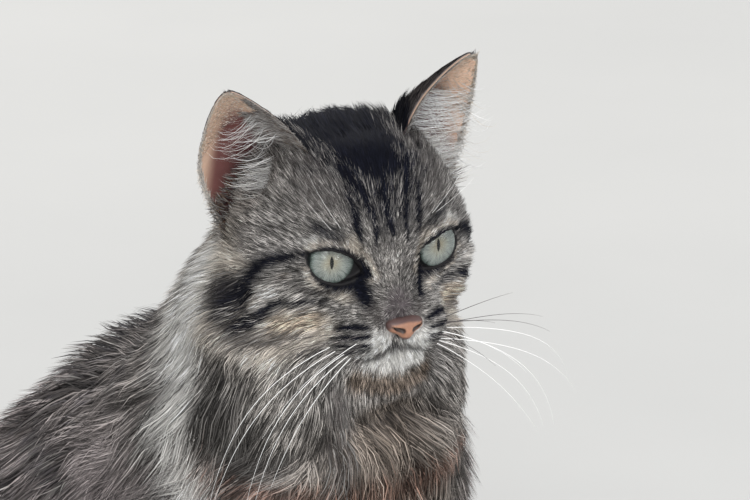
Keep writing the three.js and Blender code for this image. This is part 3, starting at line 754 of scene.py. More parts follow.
RAGGED = 0.26  # how far a broad stroke's edge wanders, of its half width
STROKE_STEP = 3.0  # mm
LAID_LAST = {"dusk": 1, "brown": 1, "black": 2}  # dark strokes are laid over the pale ones

strokes = []


def add_stroke(stroke, side=1, on_head=True):
    colour, strength, line = stroke
    x, y, z, halves = np.array(line, float).T
    places = np.stack([x * side + (FACE_MIDDLE if on_head else 0), y, z], 1)
    strokes.append((from_head(places) if on_head else places, halves, colour, strength))


for stroke in PAIRED_STROKES + PALE_STROKES + [LIP_STROKE]:
    add_stroke(stroke)
    add_stroke(stroke, side=-1)
for stroke in MIDDLE_STROKES:
    add_stroke(stroke)
for stroke in (BIB_BAND, DORSAL_LINE, PARTING_SHADE, LOW_SHADE, RUFF_LIGHT, RUFF_EDGE):
    add_stroke(stroke, on_head=False)
for stroke in (RUFF_LIGHT, RUFF_EDGE):
    add_stroke(stroke, side=-1, on_head=False)
strokes.sort(key=lambda stroke: LAID_LAST.get(stroke[2], 0))


def laid_on_coat(stroke):
    """The same stroke in short steps that follow the tips of the coat."""
    places, halves, colour, strength = stroke
    lengths = np.concatenate([[0], np.cumsum(np.linalg.norm(np.diff(places, axis=0), axis=1))])
    marks = np.linspace(0, lengths[-1], max(int(lengths[-1] / STROKE_STEP), 1) + 1)
    line = np.stack([np.interp(marks, lengths, places[:, axis]) for axis in range(3)], 1)
    line = settle(outline_field, line, 1.0, 4, 3)
    return line, np.interp(marks, lengths, halves), colour, strength


strokes = [laid_on_coat(stroke) for stroke in strokes]


def smooth(values, low, high):
    share = clamp((values - low) / (high - low), 0, 1)
    return share * share * (3 - 2 * share)


def ripple(points, size, seed):
    """Slow noise from a few crossed waves, about -1 to 1."""
    waves = np.random.default_rng(seed)
    total = np.zeros(len(points))
    for _ in range(7):
        way = waves.normal(size=3)
        total += np.sin(points @ way * (2 * math.pi / size) * 0.6 + waves.uniform(0, 6.3))
    return total / 3.2


def stroke_share(stroke, points):
    """How far a stroke of colour covers each point."""
    places, halves, colour, strength = stroke
    reach = max(halves) * (1 + SOFT_EDGE)
    close = ((points > places.min(0) - reach) & (points < places.max(0) + reach)).all(1)
    near = np.full(len(points), -FAR)
    around = points[close]
    for a, b, ha, hb in zip(places[:-1], places[1:], halves[:-1], halves[1:]):
        way = b - a
        along = clamp((around - a) @ way / (way @ way), 0, 1)
        half = ha + (hb - ha) * along
        off = np.linalg.norm(around - a - along[:, None] * way, axis=1)
        near[close] = np.maximum(near[close], 1 - off / half)
    edge = 1 - smooth(near[close], 0.2, 0.6)
    near[close] += RAGGED * smooth(max(halves), 8, 14) * ripple(around, 9, 17) * edge
    return strength * smooth(near, -SOFT_EDGE, SOFT_EDGE)


def tail_share(points):
    """How far along the tail each point lies, and how far off its middle line."""
    apart = np.linalg.norm(points[:, None, :] - tail_line[None], axis=2)
    near = apart.argmin(1)
    return near / TAIL_STATIONS, apart[np.arange(len(points)), near] - tail_coat_radii[near]


def eye_distance(points):
    """Distance from the opening of the nearer eye, in its plane, and the height over it."""
    x, y, z = in_head(*points.T)
    across, up, out = in_eye(np.abs(x), y, z)
    away = lid_opening(across, up)
    return np.where(out > 0, away, FAR), up - 0.35 * across


def bars(points):
    """The narrow bars of body, legs and tail, 0 to 1."""
    x, y, z = points.T
    wander = ripple(points, 70, 11)
    broken = smooth(ripple(points, 60, 12), -0.75, 0.0)
    trunk = np.sin((0.74 * y - 0.67 * z + 8 * wander) * 2 * math.pi / 27)
    leg = np.sin((z + 4 * wander + 0.12 * y) * 2 * math.pi / 21)
    low = smooth(-z, -120, -95) * smooth(-y, -25, -5)
    wave = trunk * (1 - low) + leg * low
    bar = smooth(wave, 0.25, 0.75) * broken * smooth(y + 0.35 * z, 50, 90) * (1 - low)
    bar = bar + smooth(wave, 0.35, 0.8) * low * smooth(z, 26, 44)
    along, off = tail_share(points)
    on_tail = smooth(-off, -9, -3) * smooth(along, 0.03, 0.08)
    rings = smooth(np.sin(along * 2 * math.pi * 7 + 1.2 * wander), 0.0, 0.5)
    rings = np.maximum(rings, smooth(along, 0.86, 0.93))
    return bar * (1 - on_tail) + rings * on_tail, on_tail


def markings(points):
    """The coat's colour at places on its surface, and how dark a stroke lies there."""
    total = np.zeros((len(points), 3))
    weight = np.zeros(len(points))
    for index, share in place_weights(*points.T):
        total += share[:, None] * np.array(PALETTE[GROUNDS[coat_places[index][0]]])
        weight += share
    colour = total / weight[:, None]
    colour *= sum((much * ripple(points, size, seed) for much, size, seed in MOTTLES), 1)[:, None]
    bar, on_tail = bars(points)
    head = in_head(*points.T)
    off_head = smooth(face_mass(*head), 6, 24)
    dark = BAR_STRENGTH * bar * off_head
    black = np.array(PALETTE["black"])
    colour = colour + (black * 1.6 - colour) * dark[:, None]
    lid, over = eye_distance(points)
    rim = smooth(lid, 2.4, 3.3) * (1 - smooth(lid, 4.2, 6.5))
    colour = colour + (np.array(PALETTE["cream"]) - colour) * (RIM_STRENGTH * rim)[:, None]
    for stroke in strokes:
        share = stroke_share(stroke, points)
        colour = colour + (np.array(PALETTE[stroke[2]]) - colour) * share[:, None]
        if stroke[2] in ("black", "dusk", "mauve"):
            dark = np.maximum(dark, share)
        if stroke[2] == "white":
            dark = np.minimum(dark, 1 - share)
    margin = 1 - smooth(lid, 1.9, 2.8)
    colour = colour + (black - colour) * margin[:, None]
    return clamp(colour, 0.004, 0.9), np.maximum(dark, margin)


# ---- Skin ---------------------------------------------------------------------------------------
# One continuous skin over head, ears, trunk, legs and tail, with sockets and lids for the eyes. It
# lies under the coat by its depth, and shows only on the lids, inside the ears and at the lips.

part_offset = np.array(pupils_middle) / MILLI - np.array([0, EYE_FRONT, EYE_HEIGHT])
LID_SKIN = (0.008, 0.007, 0.008)
# The lining's deep colour is painted shade: near black in the hollow of the ear and in the bowls at its root.
EAR_LINING = {"top": (0.62, 0.42, 0.31), "middle": (0.18, 0.075, 0.068), "deep": (0.07, 0.026, 0.028)}


def to_part(points):
    return (points + part_offset) * MILLI


def mesh_from(name, points, faces, sides=None):
    """A smooth mesh in the part's frame, in metres, from places in millimetres and the corners of
    its faces: equal-sided ones, or else a run of them with the number of sides of each face."""
    plain = sides is None
    if plain:
        sides = np.full(len(faces), faces.shape[1])
    mesh = bpy.data.meshes.new(name)
    mesh.vertices.add(len(points))
    mesh.vertices.foreach_set("co", to_part(points).astype(np.float32).ravel())
    mesh.loops.add(faces.size)
    mesh.loops.foreach_set("vertex_index", faces.astype(np.int32).ravel())
    mesh.polygons.add(len(sides))
    mesh.polygons.foreach_set("loop_start", (np.cumsum(sides) - sides).astype(np.int32))
    mesh.polygons.foreach_set("use_smooth", np.ones(len(sides), bool))
    mesh.update(calc_edges=True)
    if plain:
        mesh.validate()
    return mesh


def add_piece(name, mesh, slot, *nodes):
    piece = bpy.data.objects.new(name, mesh)
    bpy.context.scene.collection.objects.link(piece)
    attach(piece, "root")
    if nodes:
        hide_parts(*nodes)
    return piece


def paint(mesh, name, colours):
    """Colours for each corner of a mesh."""
    layer = mesh.color_attributes.new(name, "FLOAT_COLOR", "POINT")
    full = np.ones((len(colours), 4), np.float32)
    full[:, :3] = colours
    layer.data.foreach_set("color", full.ravel())


def group(name, inputs, outputs):
    """A shader node group with the named sockets, and its two ends."""
    tree = bpy.data.node_groups.new(name, "ShaderNodeTree")
    for title, kind, value in inputs:
        socket = tree.interface.new_socket(title, in_out="INPUT", socket_type=kind)
        if value is not None:
            socket.default_value = value
    for title, kind in outputs:
        tree.interface.new_socket(title, in_out="OUTPUT", socket_type=kind)
    return tree, tree.nodes.new("NodeGroupInput"), tree.nodes.new("NodeGroupOutput")


def grain_group(name, size, contrast, detail, light, dull):
    """A group that breaks up a colour with fine noise, with height and roughness to match, and the
    socket for the noise's places. The size is a title and a scale, the rest are ranges."""
    tree, start, end = group(
        name, [("Colour", "NodeSocketColor", None), (size[0], "NodeSocketFloat", size[1]),
               ("Contrast", "NodeSocketFloat", contrast)],
        [("Colour", "NodeSocketColor"), ("Height", "NodeSocketFloat"), ("Roughness", "NodeSocketFloat")])
    nodes, links = tree.nodes, tree.links
    noise = add_node(nodes, "ShaderNodeTexNoise", Detail=detail)
    span = add_node(nodes, "ShaderNodeMapRange", **light)
    tint = nodes.new("ShaderNodeMix")
    tint.data_type, tint.blend_type = "RGBA", "MULTIPLY"
    rough = add_node(nodes, "ShaderNodeMapRange", **dull)
    join(links, (start.outputs[size[0]], noise.inputs["Scale"]), (noise.outputs["Fac"], span.inputs["Value"]),
         (noise.outputs["Fac"], rough.inputs["Value"]), (start.outputs["Contrast"], tint.inputs["Factor"]),
         (start.outputs["Colour"], tint.inputs["A"]), (span.outputs["Result"], tint.inputs["B"]),
         (tint.outputs["Result"], end.inputs["Colour"]), (noise.outputs["Fac"], end.inputs["Height"]),
         (rough.outputs["Result"], end.inputs["Roughness"]))
    return tree, noise.inputs["Vector"]


def painted_material(name, grain, strength, distance, settings, **finish):
    """A piece's painted colours, broken up by a grain that also gives its bump and roughness."""
    material, nodes, links, shader = new_material(name)
    painted = nodes.new("ShaderNodeVertexColor")
    painted.layer_name = "coat_colour"
    broken = nodes.new("ShaderNodeGroup")
    broken.node_tree = grain
    set_inputs(broken, settings)
    bump = add_node(nodes, "ShaderNodeBump", Strength=strength, Distance=distance)
    join(links, (painted.outputs["Color"], broken.inputs["Colour"]),
         (broken.outputs["Colour"], shader.inputs["Base Color"]),
         (broken.outputs["Roughness"], shader.inputs["Roughness"]),
         (broken.outputs["Height"], bump.inputs["Height"]), (bump.outputs["Normal"], shader.inputs["Normal"]))
    set_inputs(shader, finish)
    return material


mottled_skin, pore_places = grain_group("mottled_skin", ("Grain", 900.0), 0.35, 4,
                                        {"To Min": 0.62, "To Max": 1.28}, {"To Min": 0.5, "To Max": 0.75})
join(mottled_skin.links, (mottled_skin.nodes.new("ShaderNodeTexCoord").outputs["Object"], pore_places))
skin_finish = painted_material("skin", mottled_skin, 0.25, 0.0004, {}, Specular_IOR_Level=0.25,
                               Subsurface_Weight=0.06, Subsurface_Radius=(0.004, 0.0015, 0.001))


def lining_colours(is_inside, rises, shares):
    """Peach at the tip of the ear, maroon lower down, near-black painted shade in its depth, and dusky
    behind.
    """
    top, middle, deep = (np.array(EAR_LINING[key]) for key in ("top", "middle", "deep"))
    low = smooth(-rises + 0.25 * np.cos((shares - 0.5) * 5), -0.52, -0.22)[:, None]
    depth_shade = np.exp(-((shares - 0.5) / 0.28) ** 2) * smooth(-rises, -0.36, -0.08)
    depth_shade = np.maximum(depth_shade, smooth(-rises, -0.06, 0.12))[:, None]
    lining = top + (middle - top) * low
    lining = lining + (deep - lining) * depth_shade
    return np.where(is_inside[:, None], lining, np.array(PALETTE["dusk"]) * 1.2)


skin_up, _ = slope_of(skin_field, skin_points, 0.5)
skin_depths = coat_depth(*skin_points.T)
skin_colours, _ = markings(skin_points + skin_up * skin_depths[:, None])
lid_here, _ = eye_distance(skin_points)
bare_lid = 1 - smooth(lid_here, 1.0, 1.9)
skin_colours += (np.array(LID_SKIN) - skin_colours) * bare_lid[:, None]
skin_in_head = in_head(*skin_points.T)
# painted shade: the bowls at the roots of the ears take the lining's near-black deep colour
past_lip = smooth(np.abs(skin_in_head[0]), BOWL_LIP, BOWL_LIP + 5)
bowl_shade = (1 - smooth(ear_bowls(*skin_in_head), 0.5, 3)) * past_lip
skin_colours += (np.array(EAR_LINING["deep"]) - skin_colours) * bowl_shade[:, None]

ear_shells = {name: ear_shell(name) for name in EARS}
all_points, all_faces, all_colours = [skin_points], [skin_faces], [skin_colours * 0.8]
for points, faces, is_inside, rises, shares in ear_shells.values():
    all_faces.append(faces + sum(len(part) for part in all_points))
    all_points.append(points)
    all_colours.append(lining_colours(is_inside, rises, shares))
skin_mesh = mesh_from("skin", np.concatenate(all_points), np.concatenate(all_faces))
paint(skin_mesh, "coat_colour", np.concatenate(all_colours))
skin_mesh.materials.append(skin_finish)
FLESH_NODES = sorted(set(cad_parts) - {"eye_left", "eye_right", "nose"})
skin = add_piece("skin", skin_mesh, "body_coat", *FLESH_NODES)


def unwrap(piece):
    """A map named OFBake of the piece's own surface, in flat charts."""
    bpy.ops.object.select_all(action="DESELECT")
    bpy.context.view_layer.objects.active = piece
    piece.select_set(True)
    piece.data.uv_layers.new(name="OFBake")
    bpy.ops.object.mode_set(mode="EDIT")
    bpy.ops.mesh.select_all(action="SELECT")
    bpy.ops.uv.smart_project(angle_limit=math.radians(75), island_margin=0.002)
    bpy.ops.object.mode_set(mode="OBJECT")


unwrap(skin)


# ---- Eyes ---------------------------------------------------------------------------------------
# Each eyeball has a dark white of the eye, a shallow iris of pale grey-green fibres round an
# upright slit, and a clear bulging front that is set over it and fills it.

IRIS = {"radius": 8.3, "plane": 5.9, "dish": 0.7, "around": 96, "rings": 14}
PUPIL = {"half_height": 2.5, "half_width": 0.72}
GLOBE = {"radius": 10.3, "rings": 28}
CORNEA = {"radius": 8.6, "apex": 10.75, "back": 4.6, "around": 72, "rings": 22}


def from_eye(side, across, up, out):
    """Places in an eye's own frame, as seen from the body's."""
    cos, sin = math.cos(EYE_SPLAY), math.sin(EYE_SPLAY)
    x = (GLOBE_AT[0] + cos * across + sin * out) * side
    y = GLOBE_AT[1] + sin * across - cos * out
    return from_head(np.stack([x, y, up], 1))


def turned(profile, around):
    """A closed skin made by turning a profile, from one end on the axis to the other: its places,
    four-sided faces, and the three-sided ones at both ends."""
    radii, outs = np.array(profile).T
    angle = np.arange(around) * 2 * math.pi / around
    across = (radii[1:-1, None] * np.cos(angle)).ravel()
    up = (radii[1:-1, None] * np.sin(angle)).ravel()
    out = np.repeat(outs[1:-1], around)
    across, up = np.append(across, [0, 0]), np.append(up, [0, 0])
    out = np.append(out, [outs[0], outs[-1]])
    rows = len(radii) - 2
    index = np.arange(rows * around).reshape(rows, around)
    ahead = np.roll(index, -1, axis=1)
    quads = np.stack([index[:-1], ahead[:-1], ahead[1:], index[1:]], -1).reshape(-1, 4)
    first, last = rows * around, rows * around + 1
    caps = [(index[0][i], first, ahead[0][i]) for i in range(around)]
    caps += [(index[-1][i], ahead[-1][i], last) for i in range(around)]
    return across, up, out, quads, np.array(caps)


def eye_mesh(name, side, profile, around):
    across, up, out, quads, caps = turned(profile, around)
    loops = np.concatenate([quads[:, ::side].ravel(), caps[:, ::side].ravel()])
    sides = np.repeat([4, 3], [len(quads), len(caps)])
    mesh = mesh_from(name, from_eye(side, across, up, out), loops, sides)
    plan = mesh.uv_layers.new(name="iris_plan")
    plane = np.stack([across[loops] * side, up[loops]], 1) / IRIS["radius"]
    plan.data.foreach_set("uv", plane.astype(np.float32).ravel())
    return mesh


def globe_profile():
    """From the back of the ball round to the iris's edge, and in over the iris to its middle."""
    edge = math.acos(IRIS["radius"] / GLOBE["radius"])
    angles = np.linspace(-math.pi / 2, edge, GLOBE["rings"])
    ball = [(math.cos(a) * GLOBE["radius"], math.sin(a) * GLOBE["radius"]) for a in angles]
    radii = np.linspace(IRIS["radius"] - 0.15, 0, IRIS["rings"])
    disc = [(r, IRIS["plane"] - IRIS["dish"] * (r / IRIS["radius"]) ** 2 + 0.5) for r in radii]
    return [(0, -GLOBE["radius"])] + ball[1:] + disc[:-1] + [(0, disc[-1][1])]


def cornea_profile():
    """From behind the iris out to the rim, and over the bulging front to its middle."""
    rim = math.sqrt(GLOBE["radius"] ** 2 - CORNEA["radius"] ** 2)
    angles = np.linspace(0, math.pi / 2, CORNEA["rings"])
    dome = [(CORNEA["radius"] * math.cos(a), rim + (CORNEA["apex"] - rim) * math.sin(a)) for a in angles]
    return [(0, CORNEA["back"]), (CORNEA["radius"] * 0.7, CORNEA["back"])] + dome[:-1] + [(0, CORNEA["apex"])]


def iris_group():
    """Fibres, rim and upright slit of an iris, from its flat plan."""
    tree, start, end = group(
        "iris_pattern", [("Fibres", "NodeSocketFloat", 26.0)],
        [("Colour", "NodeSocketColor"), ("Height", "NodeSocketFloat")])
    nodes, links = tree.nodes, tree.links

    def math_node(operation, *values):
        node = nodes.new("ShaderNodeMath")
        node.operation = operation
        for socket, value in zip(node.inputs, values):
            if isinstance(value, (int, float)):
                socket.default_value = value
            else:
                links.new(value, socket)
        return node.outputs[0]

    plan = nodes.new("ShaderNodeUVMap")
    plan.uv_map = "iris_plan"
    split = nodes.new("ShaderNodeSeparateXYZ")
    links.new(plan.outputs["UV"], split.inputs[0])
    across, up = split.outputs["X"], split.outputs["Y"]
    radius = math_node("SQRT", math_node("ADD", math_node("MULTIPLY", across, across),
                                         math_node("MULTIPLY", up, up)))
    angle = math_node("ARCTAN2", up, across)
    polar = nodes.new("ShaderNodeCombineXYZ")
    fibres = start.outputs["Fibres"]
    join(links, (math_node("MULTIPLY", math_node("COSINE", angle), fibres), polar.inputs["X"]),
         (math_node("MULTIPLY", math_node("SINE", angle), fibres), polar.inputs["Y"]),
         (math_node("MULTIPLY", radius, 3.2), polar.inputs["Z"]))
    fibre = add_node(nodes, "ShaderNodeTexNoise", Scale=1.0, Detail=5, Roughness=0.62)
    links.new(polar.outputs[0], fibre.inputs["Vector"])
    cloud = add_node(nodes, "ShaderNodeTexNoise", Scale=2.4, Detail=3)
    links.new(plan.outputs["UV"], cloud.inputs["Vector"])
    tone = nodes.new("ShaderNodeValToRGB")
    ramp = tone.color_ramp
    ramp.elements[0].position, ramp.elements[0].color = 0.10, (0.225, 0.2, 0.145, 1)
    ramp.elements[1].position, ramp.elements[1].color = 0.99, (0.010, 0.013, 0.013, 1)
    for position, colour in ((0.30, (0.228, 0.222, 0.18, 1)), (0.52, (0.2, 0.212, 0.193, 1)),
                             (0.78, (0.15, 0.168, 0.158, 1)), (0.90, (0.06, 0.078, 0.07, 1))):
        ramp.elements.new(position).color = colour
    drift = math_node("MULTIPLY", math_node("SUBTRACT", cloud.outputs["Fac"], 0.5), 0.35)
    links.new(math_node("ADD", radius, drift), tone.inputs["Fac"])
    streak = add_node(nodes, "ShaderNodeMapRange", From_Min=0.3, From_Max=0.7, To_Min=0.30, To_Max=1.45)
    links.new(fibre.outputs["Fac"], streak.inputs["Value"])
    shaded = nodes.new("ShaderNodeMix")
    shaded.data_type, shaded.blend_type = "RGBA", "MULTIPLY"
    shaded.inputs["Factor"].default_value = 1.0
    join(links, (tone.outputs["Color"], shaded.inputs["A"]), (streak.outputs["Result"], shaded.inputs["B"]))
    tall = math_node("DIVIDE", up, PUPIL["half_height"] / IRIS["radius"])
    bow = math_node("SUBTRACT", 1.0, math_node("MULTIPLY", tall, tall))
    width = math_node("MULTIPLY", bow, PUPIL["half_width"] / IRIS["radius"])
    inside = math_node("SUBTRACT", width, math_node("ABSOLUTE", across))
    slit = add_node(nodes, "ShaderNodeMapRange", From_Min=-0.012, From_Max=0.012)
    slit.interpolation_type = "SMOOTHSTEP"
    links.new(inside, slit.inputs["Value"])
    final = nodes.new("ShaderNodeMix")
    final.data_type = "RGBA"
    final.inputs["B"].default_value = (0.002, 0.002, 0.003, 1)
    join(links, (slit.outputs["Result"], final.inputs["Factor"]),
         (shaded.outputs["Result"], final.inputs["A"]),
         (final.outputs["Result"], end.inputs["Colour"]), (fibre.outputs["Fac"], end.inputs["Height"]))
    return tree


iris_pattern = iris_group()


def eyeball_material():
    material, nodes, links, shader = new_material("eyeball")
    iris = nodes.new("ShaderNodeGroup")
    iris.node_tree = iris_pattern
    bump = add_node(nodes, "ShaderNodeBump", Strength=0.35, Distance=0.0003)
    join(links, (iris.outputs["Colour"], shader.inputs["Base Color"]),
         (iris.outputs["Height"], bump.inputs["Height"]), (bump.outputs["Normal"], shader.inputs["Normal"]))
    set_inputs(shader, {"Roughness": 0.5, "Specular IOR Level": 0.12})
    return material


def cornea_material():
    material, nodes, links, shader = new_material("cornea")
    set_inputs(shader, {"Base Color": (0.98, 1.0, 0.99, 1), "IOR": 1.336, "Transmission Weight": 1.0})
    film = add_node(nodes, "ShaderNodeTexNoise", Scale=180)
    place = nodes.new("ShaderNodeTexCoord")
    gloss = add_node(nodes, "ShaderNodeMapRange", To_Min=0.19, To_Max=0.24)
    join(links, (place.outputs["Object"], film.inputs["Vector"]),
         (film.outputs["Fac"], gloss.inputs["Value"]),
         (gloss.outputs["Result"], shader.inputs["Roughness"]))
    return material


eyeball_finish, cornea_finish = eyeball_material(), cornea_material()
for name, side in SIDES.items():
    ball = eye_mesh(f"eyeball_{name}", side, globe_profile(), IRIS["around"])
    ball.materials.append(eyeball_finish)
    add_piece(f"eyeball_{name}", ball, "eyes", f"eye_{name}")
    lens = eye_mesh(f"cornea_{name}", side, cornea_profile(), CORNEA["around"])
    lens.materials.append(cornea_finish)
    add_piece(f"cornea_{name}", lens, "cornea").visible_shadow = False


# ---- Nose ---------------------------------------------------------------------------------------
# The bare tip of the nose: fine pebbled leather, terracotta with a dark rim, with two comma-shaped
# nostrils and a furrow down the middle. It is set into the muzzle above the lip.

NOSE_MASSES = [((0, -14.8, -23.0), (6.6, 3.7, 2.2)), ((0, -15.4, -24.3), (5.0, 3.3, 2.8)),
               ((0, -15.6, -25.8), (2.7, 3.2, 3.5))]
NOSE_WING = ((4.4, -14.6, -23.4), (2.8, 3.1, 2.3))
NOSE_ASIDE = 0.8  # the nose sits a little to the left of the middle
NOSE_ROOM = ((-11, 11), (-21, -8), (-31, -17))
NOSE_STEP = 0.35
nostril = paired(limb((2.5, -18.7, -24.9), (5.6, -16.9, -23.3), 0.95, 0.5))
nose_flesh = blended([*[egg(*mass) for mass in NOSE_MASSES], paired(egg(*NOSE_WING))], 2.0)
nose_furrow = limb((0, -20.2, -23.6), (0, -19.2, -28.4), 0.5, 0.6)


def nose_field(x, y, z):
    x = x - NOSE_ASIDE
    return -fillet(fillet(-nose_flesh(x, y, z), nostril(x, y, z), 0.5), nose_furrow(x, y, z), 0.6)


def nose_colours(places):
    x, y, z = (places - (NOSE_ASIDE, 0, 0)).T
    leather = np.array((0.34, 0.165, 0.10)) * (1 + 0.12 * ripple(places, 3, 21))[:, None]
    rim = np.array((0.075, 0.048, 0.050))
    # painted shade: near black down in the nostrils
    nostril_shade = 1 - smooth(nostril(x, y, z), -0.1, 0.55)
    top = smooth(z + 0.12 * np.abs(x), -22.2, -21.2)
    side = smooth(np.abs(x) + 0.4 * (z + 23), 5.4, 7.0)
    edge = np.maximum(np.maximum(top, side), smooth(-z, 27.2, 28.6))
    colour = leather + (rim - leather) * (0.9 * edge)[:, None]
    return colour + (np.array((0.012, 0.007, 0.007)) - colour) * nostril_shade[:, None]


def nose_material():
    material, nodes, links, shader = new_material("nose_leather")
    painted = nodes.new("ShaderNodeVertexColor")
    painted.layer_name = "coat_colour"
    place = nodes.new("ShaderNodeTexCoord")
    pebbles = add_node(nodes, "ShaderNodeTexVoronoi", Scale=2100)
    bump = add_node(nodes, "ShaderNodeBump", Strength=0.4, Distance=0.00025)
    gloss = add_node(nodes, "ShaderNodeMapRange", To_Min=0.36, To_Max=0.58)
    pores = nodes.new("ShaderNodeGroup")
    pores.node_tree = mottled_skin
    set_inputs(pores, {"Grain": 1600})
    join(links, (place.outputs["Object"], pebbles.inputs["Vector"]),
         (painted.outputs["Color"], pores.inputs["Colour"]),
         (pores.outputs["Colour"], shader.inputs["Base Color"]),
         (pebbles.outputs["Distance"], bump.inputs["Height"]),
         (bump.outputs["Normal"], shader.inputs["Normal"]),
         (pebbles.outputs["Distance"], gloss.inputs["Value"]),
         (gloss.outputs["Result"], shader.inputs["Roughness"]))
    return material


nose_grid = tuple(ruler((low, NOSE_STEP), (high, 0)) for low, high in NOSE_ROOM)
nose_places, nose_faces, _ = surface_of(nose_field, nose_grid)
nose_places = settle(nose_field, nose_places, 0.1, 0.2)
nose_mesh = mesh_from("nose_leather", from_head(nose_places), nose_faces)
paint(nose_mesh, "coat_colour", nose_colours(nose_places))
nose_mesh.materials.append(nose_material())
add_piece("nose_leather", nose_mesh, "nose_leather", "nose")


# ---- Coat ---------------------------------------------------------------------------------------
# Some three hundred thousand tapering tufts, rooted in the skin and laid along the body in
# overlapping layers. They are fine and close on the face and paws, and long, waved and parted into
# locks on ruff, chest and tail. Each has a slate root, a pale band and a darker tip.

COAT = {
    # places, tufts, joints along each, width, length as a share of depth and more, how far apart
    # locks are and their pull, how deep the gaps between them sink and how strong the painted shade in
    # them and the painted light on the crests are, wave and its length, slot; some are raised above the
    # coat's depth, or have hairs less vivid in tone
    "face": dict(places="nose_bridge whisker_pad chin stop lids brow temple forehead", tufts=104000,
                 joints=3, width=0.27, long=(1.2, 1.0), locks=(2.0, 0.4), gap=0.5,
                 wave=(0.0, 9), slot="head_coat"),
    "cheek": dict(places="crown cheek jowl under_jaw nape", tufts=50000,
                  joints=4, width=0.38, long=(1.65, 1.5), locks=(4.2, 0.55), gap=0.6,
                  wave=(0.9, 22), slot="head_coat"),
    "ruff": dict(places="throat ruff bib", tufts=39000,
                 joints=6, width=0.46, long=(2.3, 2.0), locks=(7.0, 0.75), gap=1.0, vivid=0.72,
                 wave=(4.6, 40), slot="ruff_coat"),
    "back": dict(places="withers shoulder back flank rump belly", tufts=27000,
                 joints=5, width=0.78, long=(2.3, 2.0), locks=(9.0, 0.65), gap=0.6, raised=1.15, vivid=0.75,
                 wave=(1.8, 34), slot="body_coat"),
    "leg": dict(places="haunch elbow foreleg wrist hock", tufts=28000,
                joints=4, width=0.72, long=(2.2, 2.0), locks=(5.0, 0.5), gap=0.4,
                wave=(0.6, 24), slot="leg_coat"),
    "paw": dict(places="forepaw hind_foot hind_paw", tufts=14000,
                joints=3, width=0.60, long=(2.0, 1.5), locks=(2.5, 0.3), gap=0.2,
                wave=(0.0, 20), slot="leg_coat"),
    "tail": dict(places="", tufts=13000,
                 joints=5, width=0.9, long=(2.6, 2.0), locks=(6.5, 0.55), gap=0.4,
                 wave=(1.8, 30), slot="tail_coat"),
}
TAIL_FUR_DEPTH = 14.0
FLECKS = 0.30  # share of light hairs among the dark markings
STRAY = (0.15, 0.13)  # mm, and share of the coat's depth, that markings' edges are ragged by
LOCK_RELIEF = 3.0  # mm between the crest of a lock and its edge
CROWN_LIFT = 0.45  # how much higher the hair stands beside the middle of the crown
SWAY = 0.14  # how far each tuft strays from the lie of the coat
TOP_LAYER, LAYER_SPREAD = 1.04, 0.6  # heights of the tufts' tips, of the coat's depth
HAIR_TONES = np.array((0.15, 0.55, 1.78))  # of dark, middling and light hairs
DARKER_HAIRS = (0.36, 0.66)  # the shares of hairs that are dark, and dark or middling
LOCK_TONE = 0.42  # how much whole locks differ in tone
CREST_LIGHT, GAP_SHADE = 0.30, 0.85  # painted light: how much lighter a lock's crest is; painted shade: how much darker a gap between locks is
LOCK_STRAY = 0.22  # how far tufts are drawn to a lock that isn't the nearest, of their spacing
ROOT_SUNK = 0.4  # mm under the skin
SLATE = (0.060, 0.055, 0.058)  # the tufts' roots
MOST_TRIANGLES = 190000  # in one piece
NOSE_TIP = (0, -14, -16)
PARTING = -26  # mm: where the chest's locks part, across the body
BAKE_PATCH = 0.003
chance = np.random.default_rng(417)

skin_triangles = np.concatenate([skin_faces[:, [0, 1, 2]], skin_faces[:, [0, 2, 3]]])
skin_middles = skin_points[skin_triangles].mean(1)
skin_areas = np.linalg.norm(np.cross(
    skin_points[skin_triangles[:, 1]] - skin_points[skin_triangles[:, 0]],
    skin_points[skin_triangles[:, 2]] - skin_points[skin_triangles[:, 0]]), axis=1) / 2
skin_loop_uvs = np.zeros(len(skin_mesh.loops) * 2, np.float32)
skin_mesh.uv_layers["OFBake"].data.foreach_get("uv", skin_loop_uvs)
skin_uvs = skin_loop_uvs.reshape(-1, 4, 2)[:len(skin_faces)]
triangle_uvs = np.concatenate([skin_uvs[:, [0, 1, 2]], skin_uvs[:, [0, 2, 3]]])

best_place = np.zeros(len(skin_middles), int)
best_weight = np.zeros(len(skin_middles))
for index, share in place_weights(*skin_middles.T):
    best_place = np.where(share > best_weight, index, best_place)
    best_weight = np.maximum(share, best_weight)
_, off_tail = tail_share(skin_middles)
on_tail = (off_tail < -6) & (skin_middles[:, 2] < 60) & (skin_middles[:, 1] + skin_middles[:, 0] > 90)


def is_bare(points):
    """Where no hair is rooted: the eyes and their lids' margins, the nose, the lips and ears."""
    head = in_head(*points.T)
    lid, _ = eye_distance(points)
    bare = (lid < 0.5) & (face_mass(*head) > -12)
    bare |= nose_field(*head) < 0.1
    bare |= mouth_groove(*head) < 0.1
    bare |= (ear_bowls(*head) < 0.5) & (np.abs(head[0]) > BOWL_LIP + 3)
    return bare


def head_lie(points):
    """The way the hair lies on the head: away from the nose, and round the eyes."""
    x, y, z = in_head(*points.T)
    local = np.stack([x, y, z], 1)
    way = local - np.array(NOSE_TIP)
    on_pad = smooth(np.abs(x), 5, 13) * (1 - smooth(np.abs(z + 28), 5, 14))
    way[:, 2] *= 1 - 0.75 * on_pad
    way /= np.linalg.norm(way, axis=1, keepdims=True)
    side_low = smooth(np.abs(x), 16, 40) * smooth(-z, -6, 14)
    way[:, 2] -= 0.55 * side_low
    for side in (1, -1):
        off = local - np.array([GLOBE_AT[0] * side, GLOBE_AT[1] - 4, GLOBE_AT[2]])
        far = np.linalg.norm(off, axis=1)
        off /= far[:, None]
        toward = np.minimum(np.einsum("ij,ij->i", way, off), 0.15) - 0.15
        way -= off * (toward * np.exp(-clamp(far - 11, 0, FAR) / 6) * 1.1)[:, None]
    turn = from_head(way) - from_head(np.zeros((1, 3)))
    return turn / np.linalg.norm(turn, axis=1, keepdims=True)


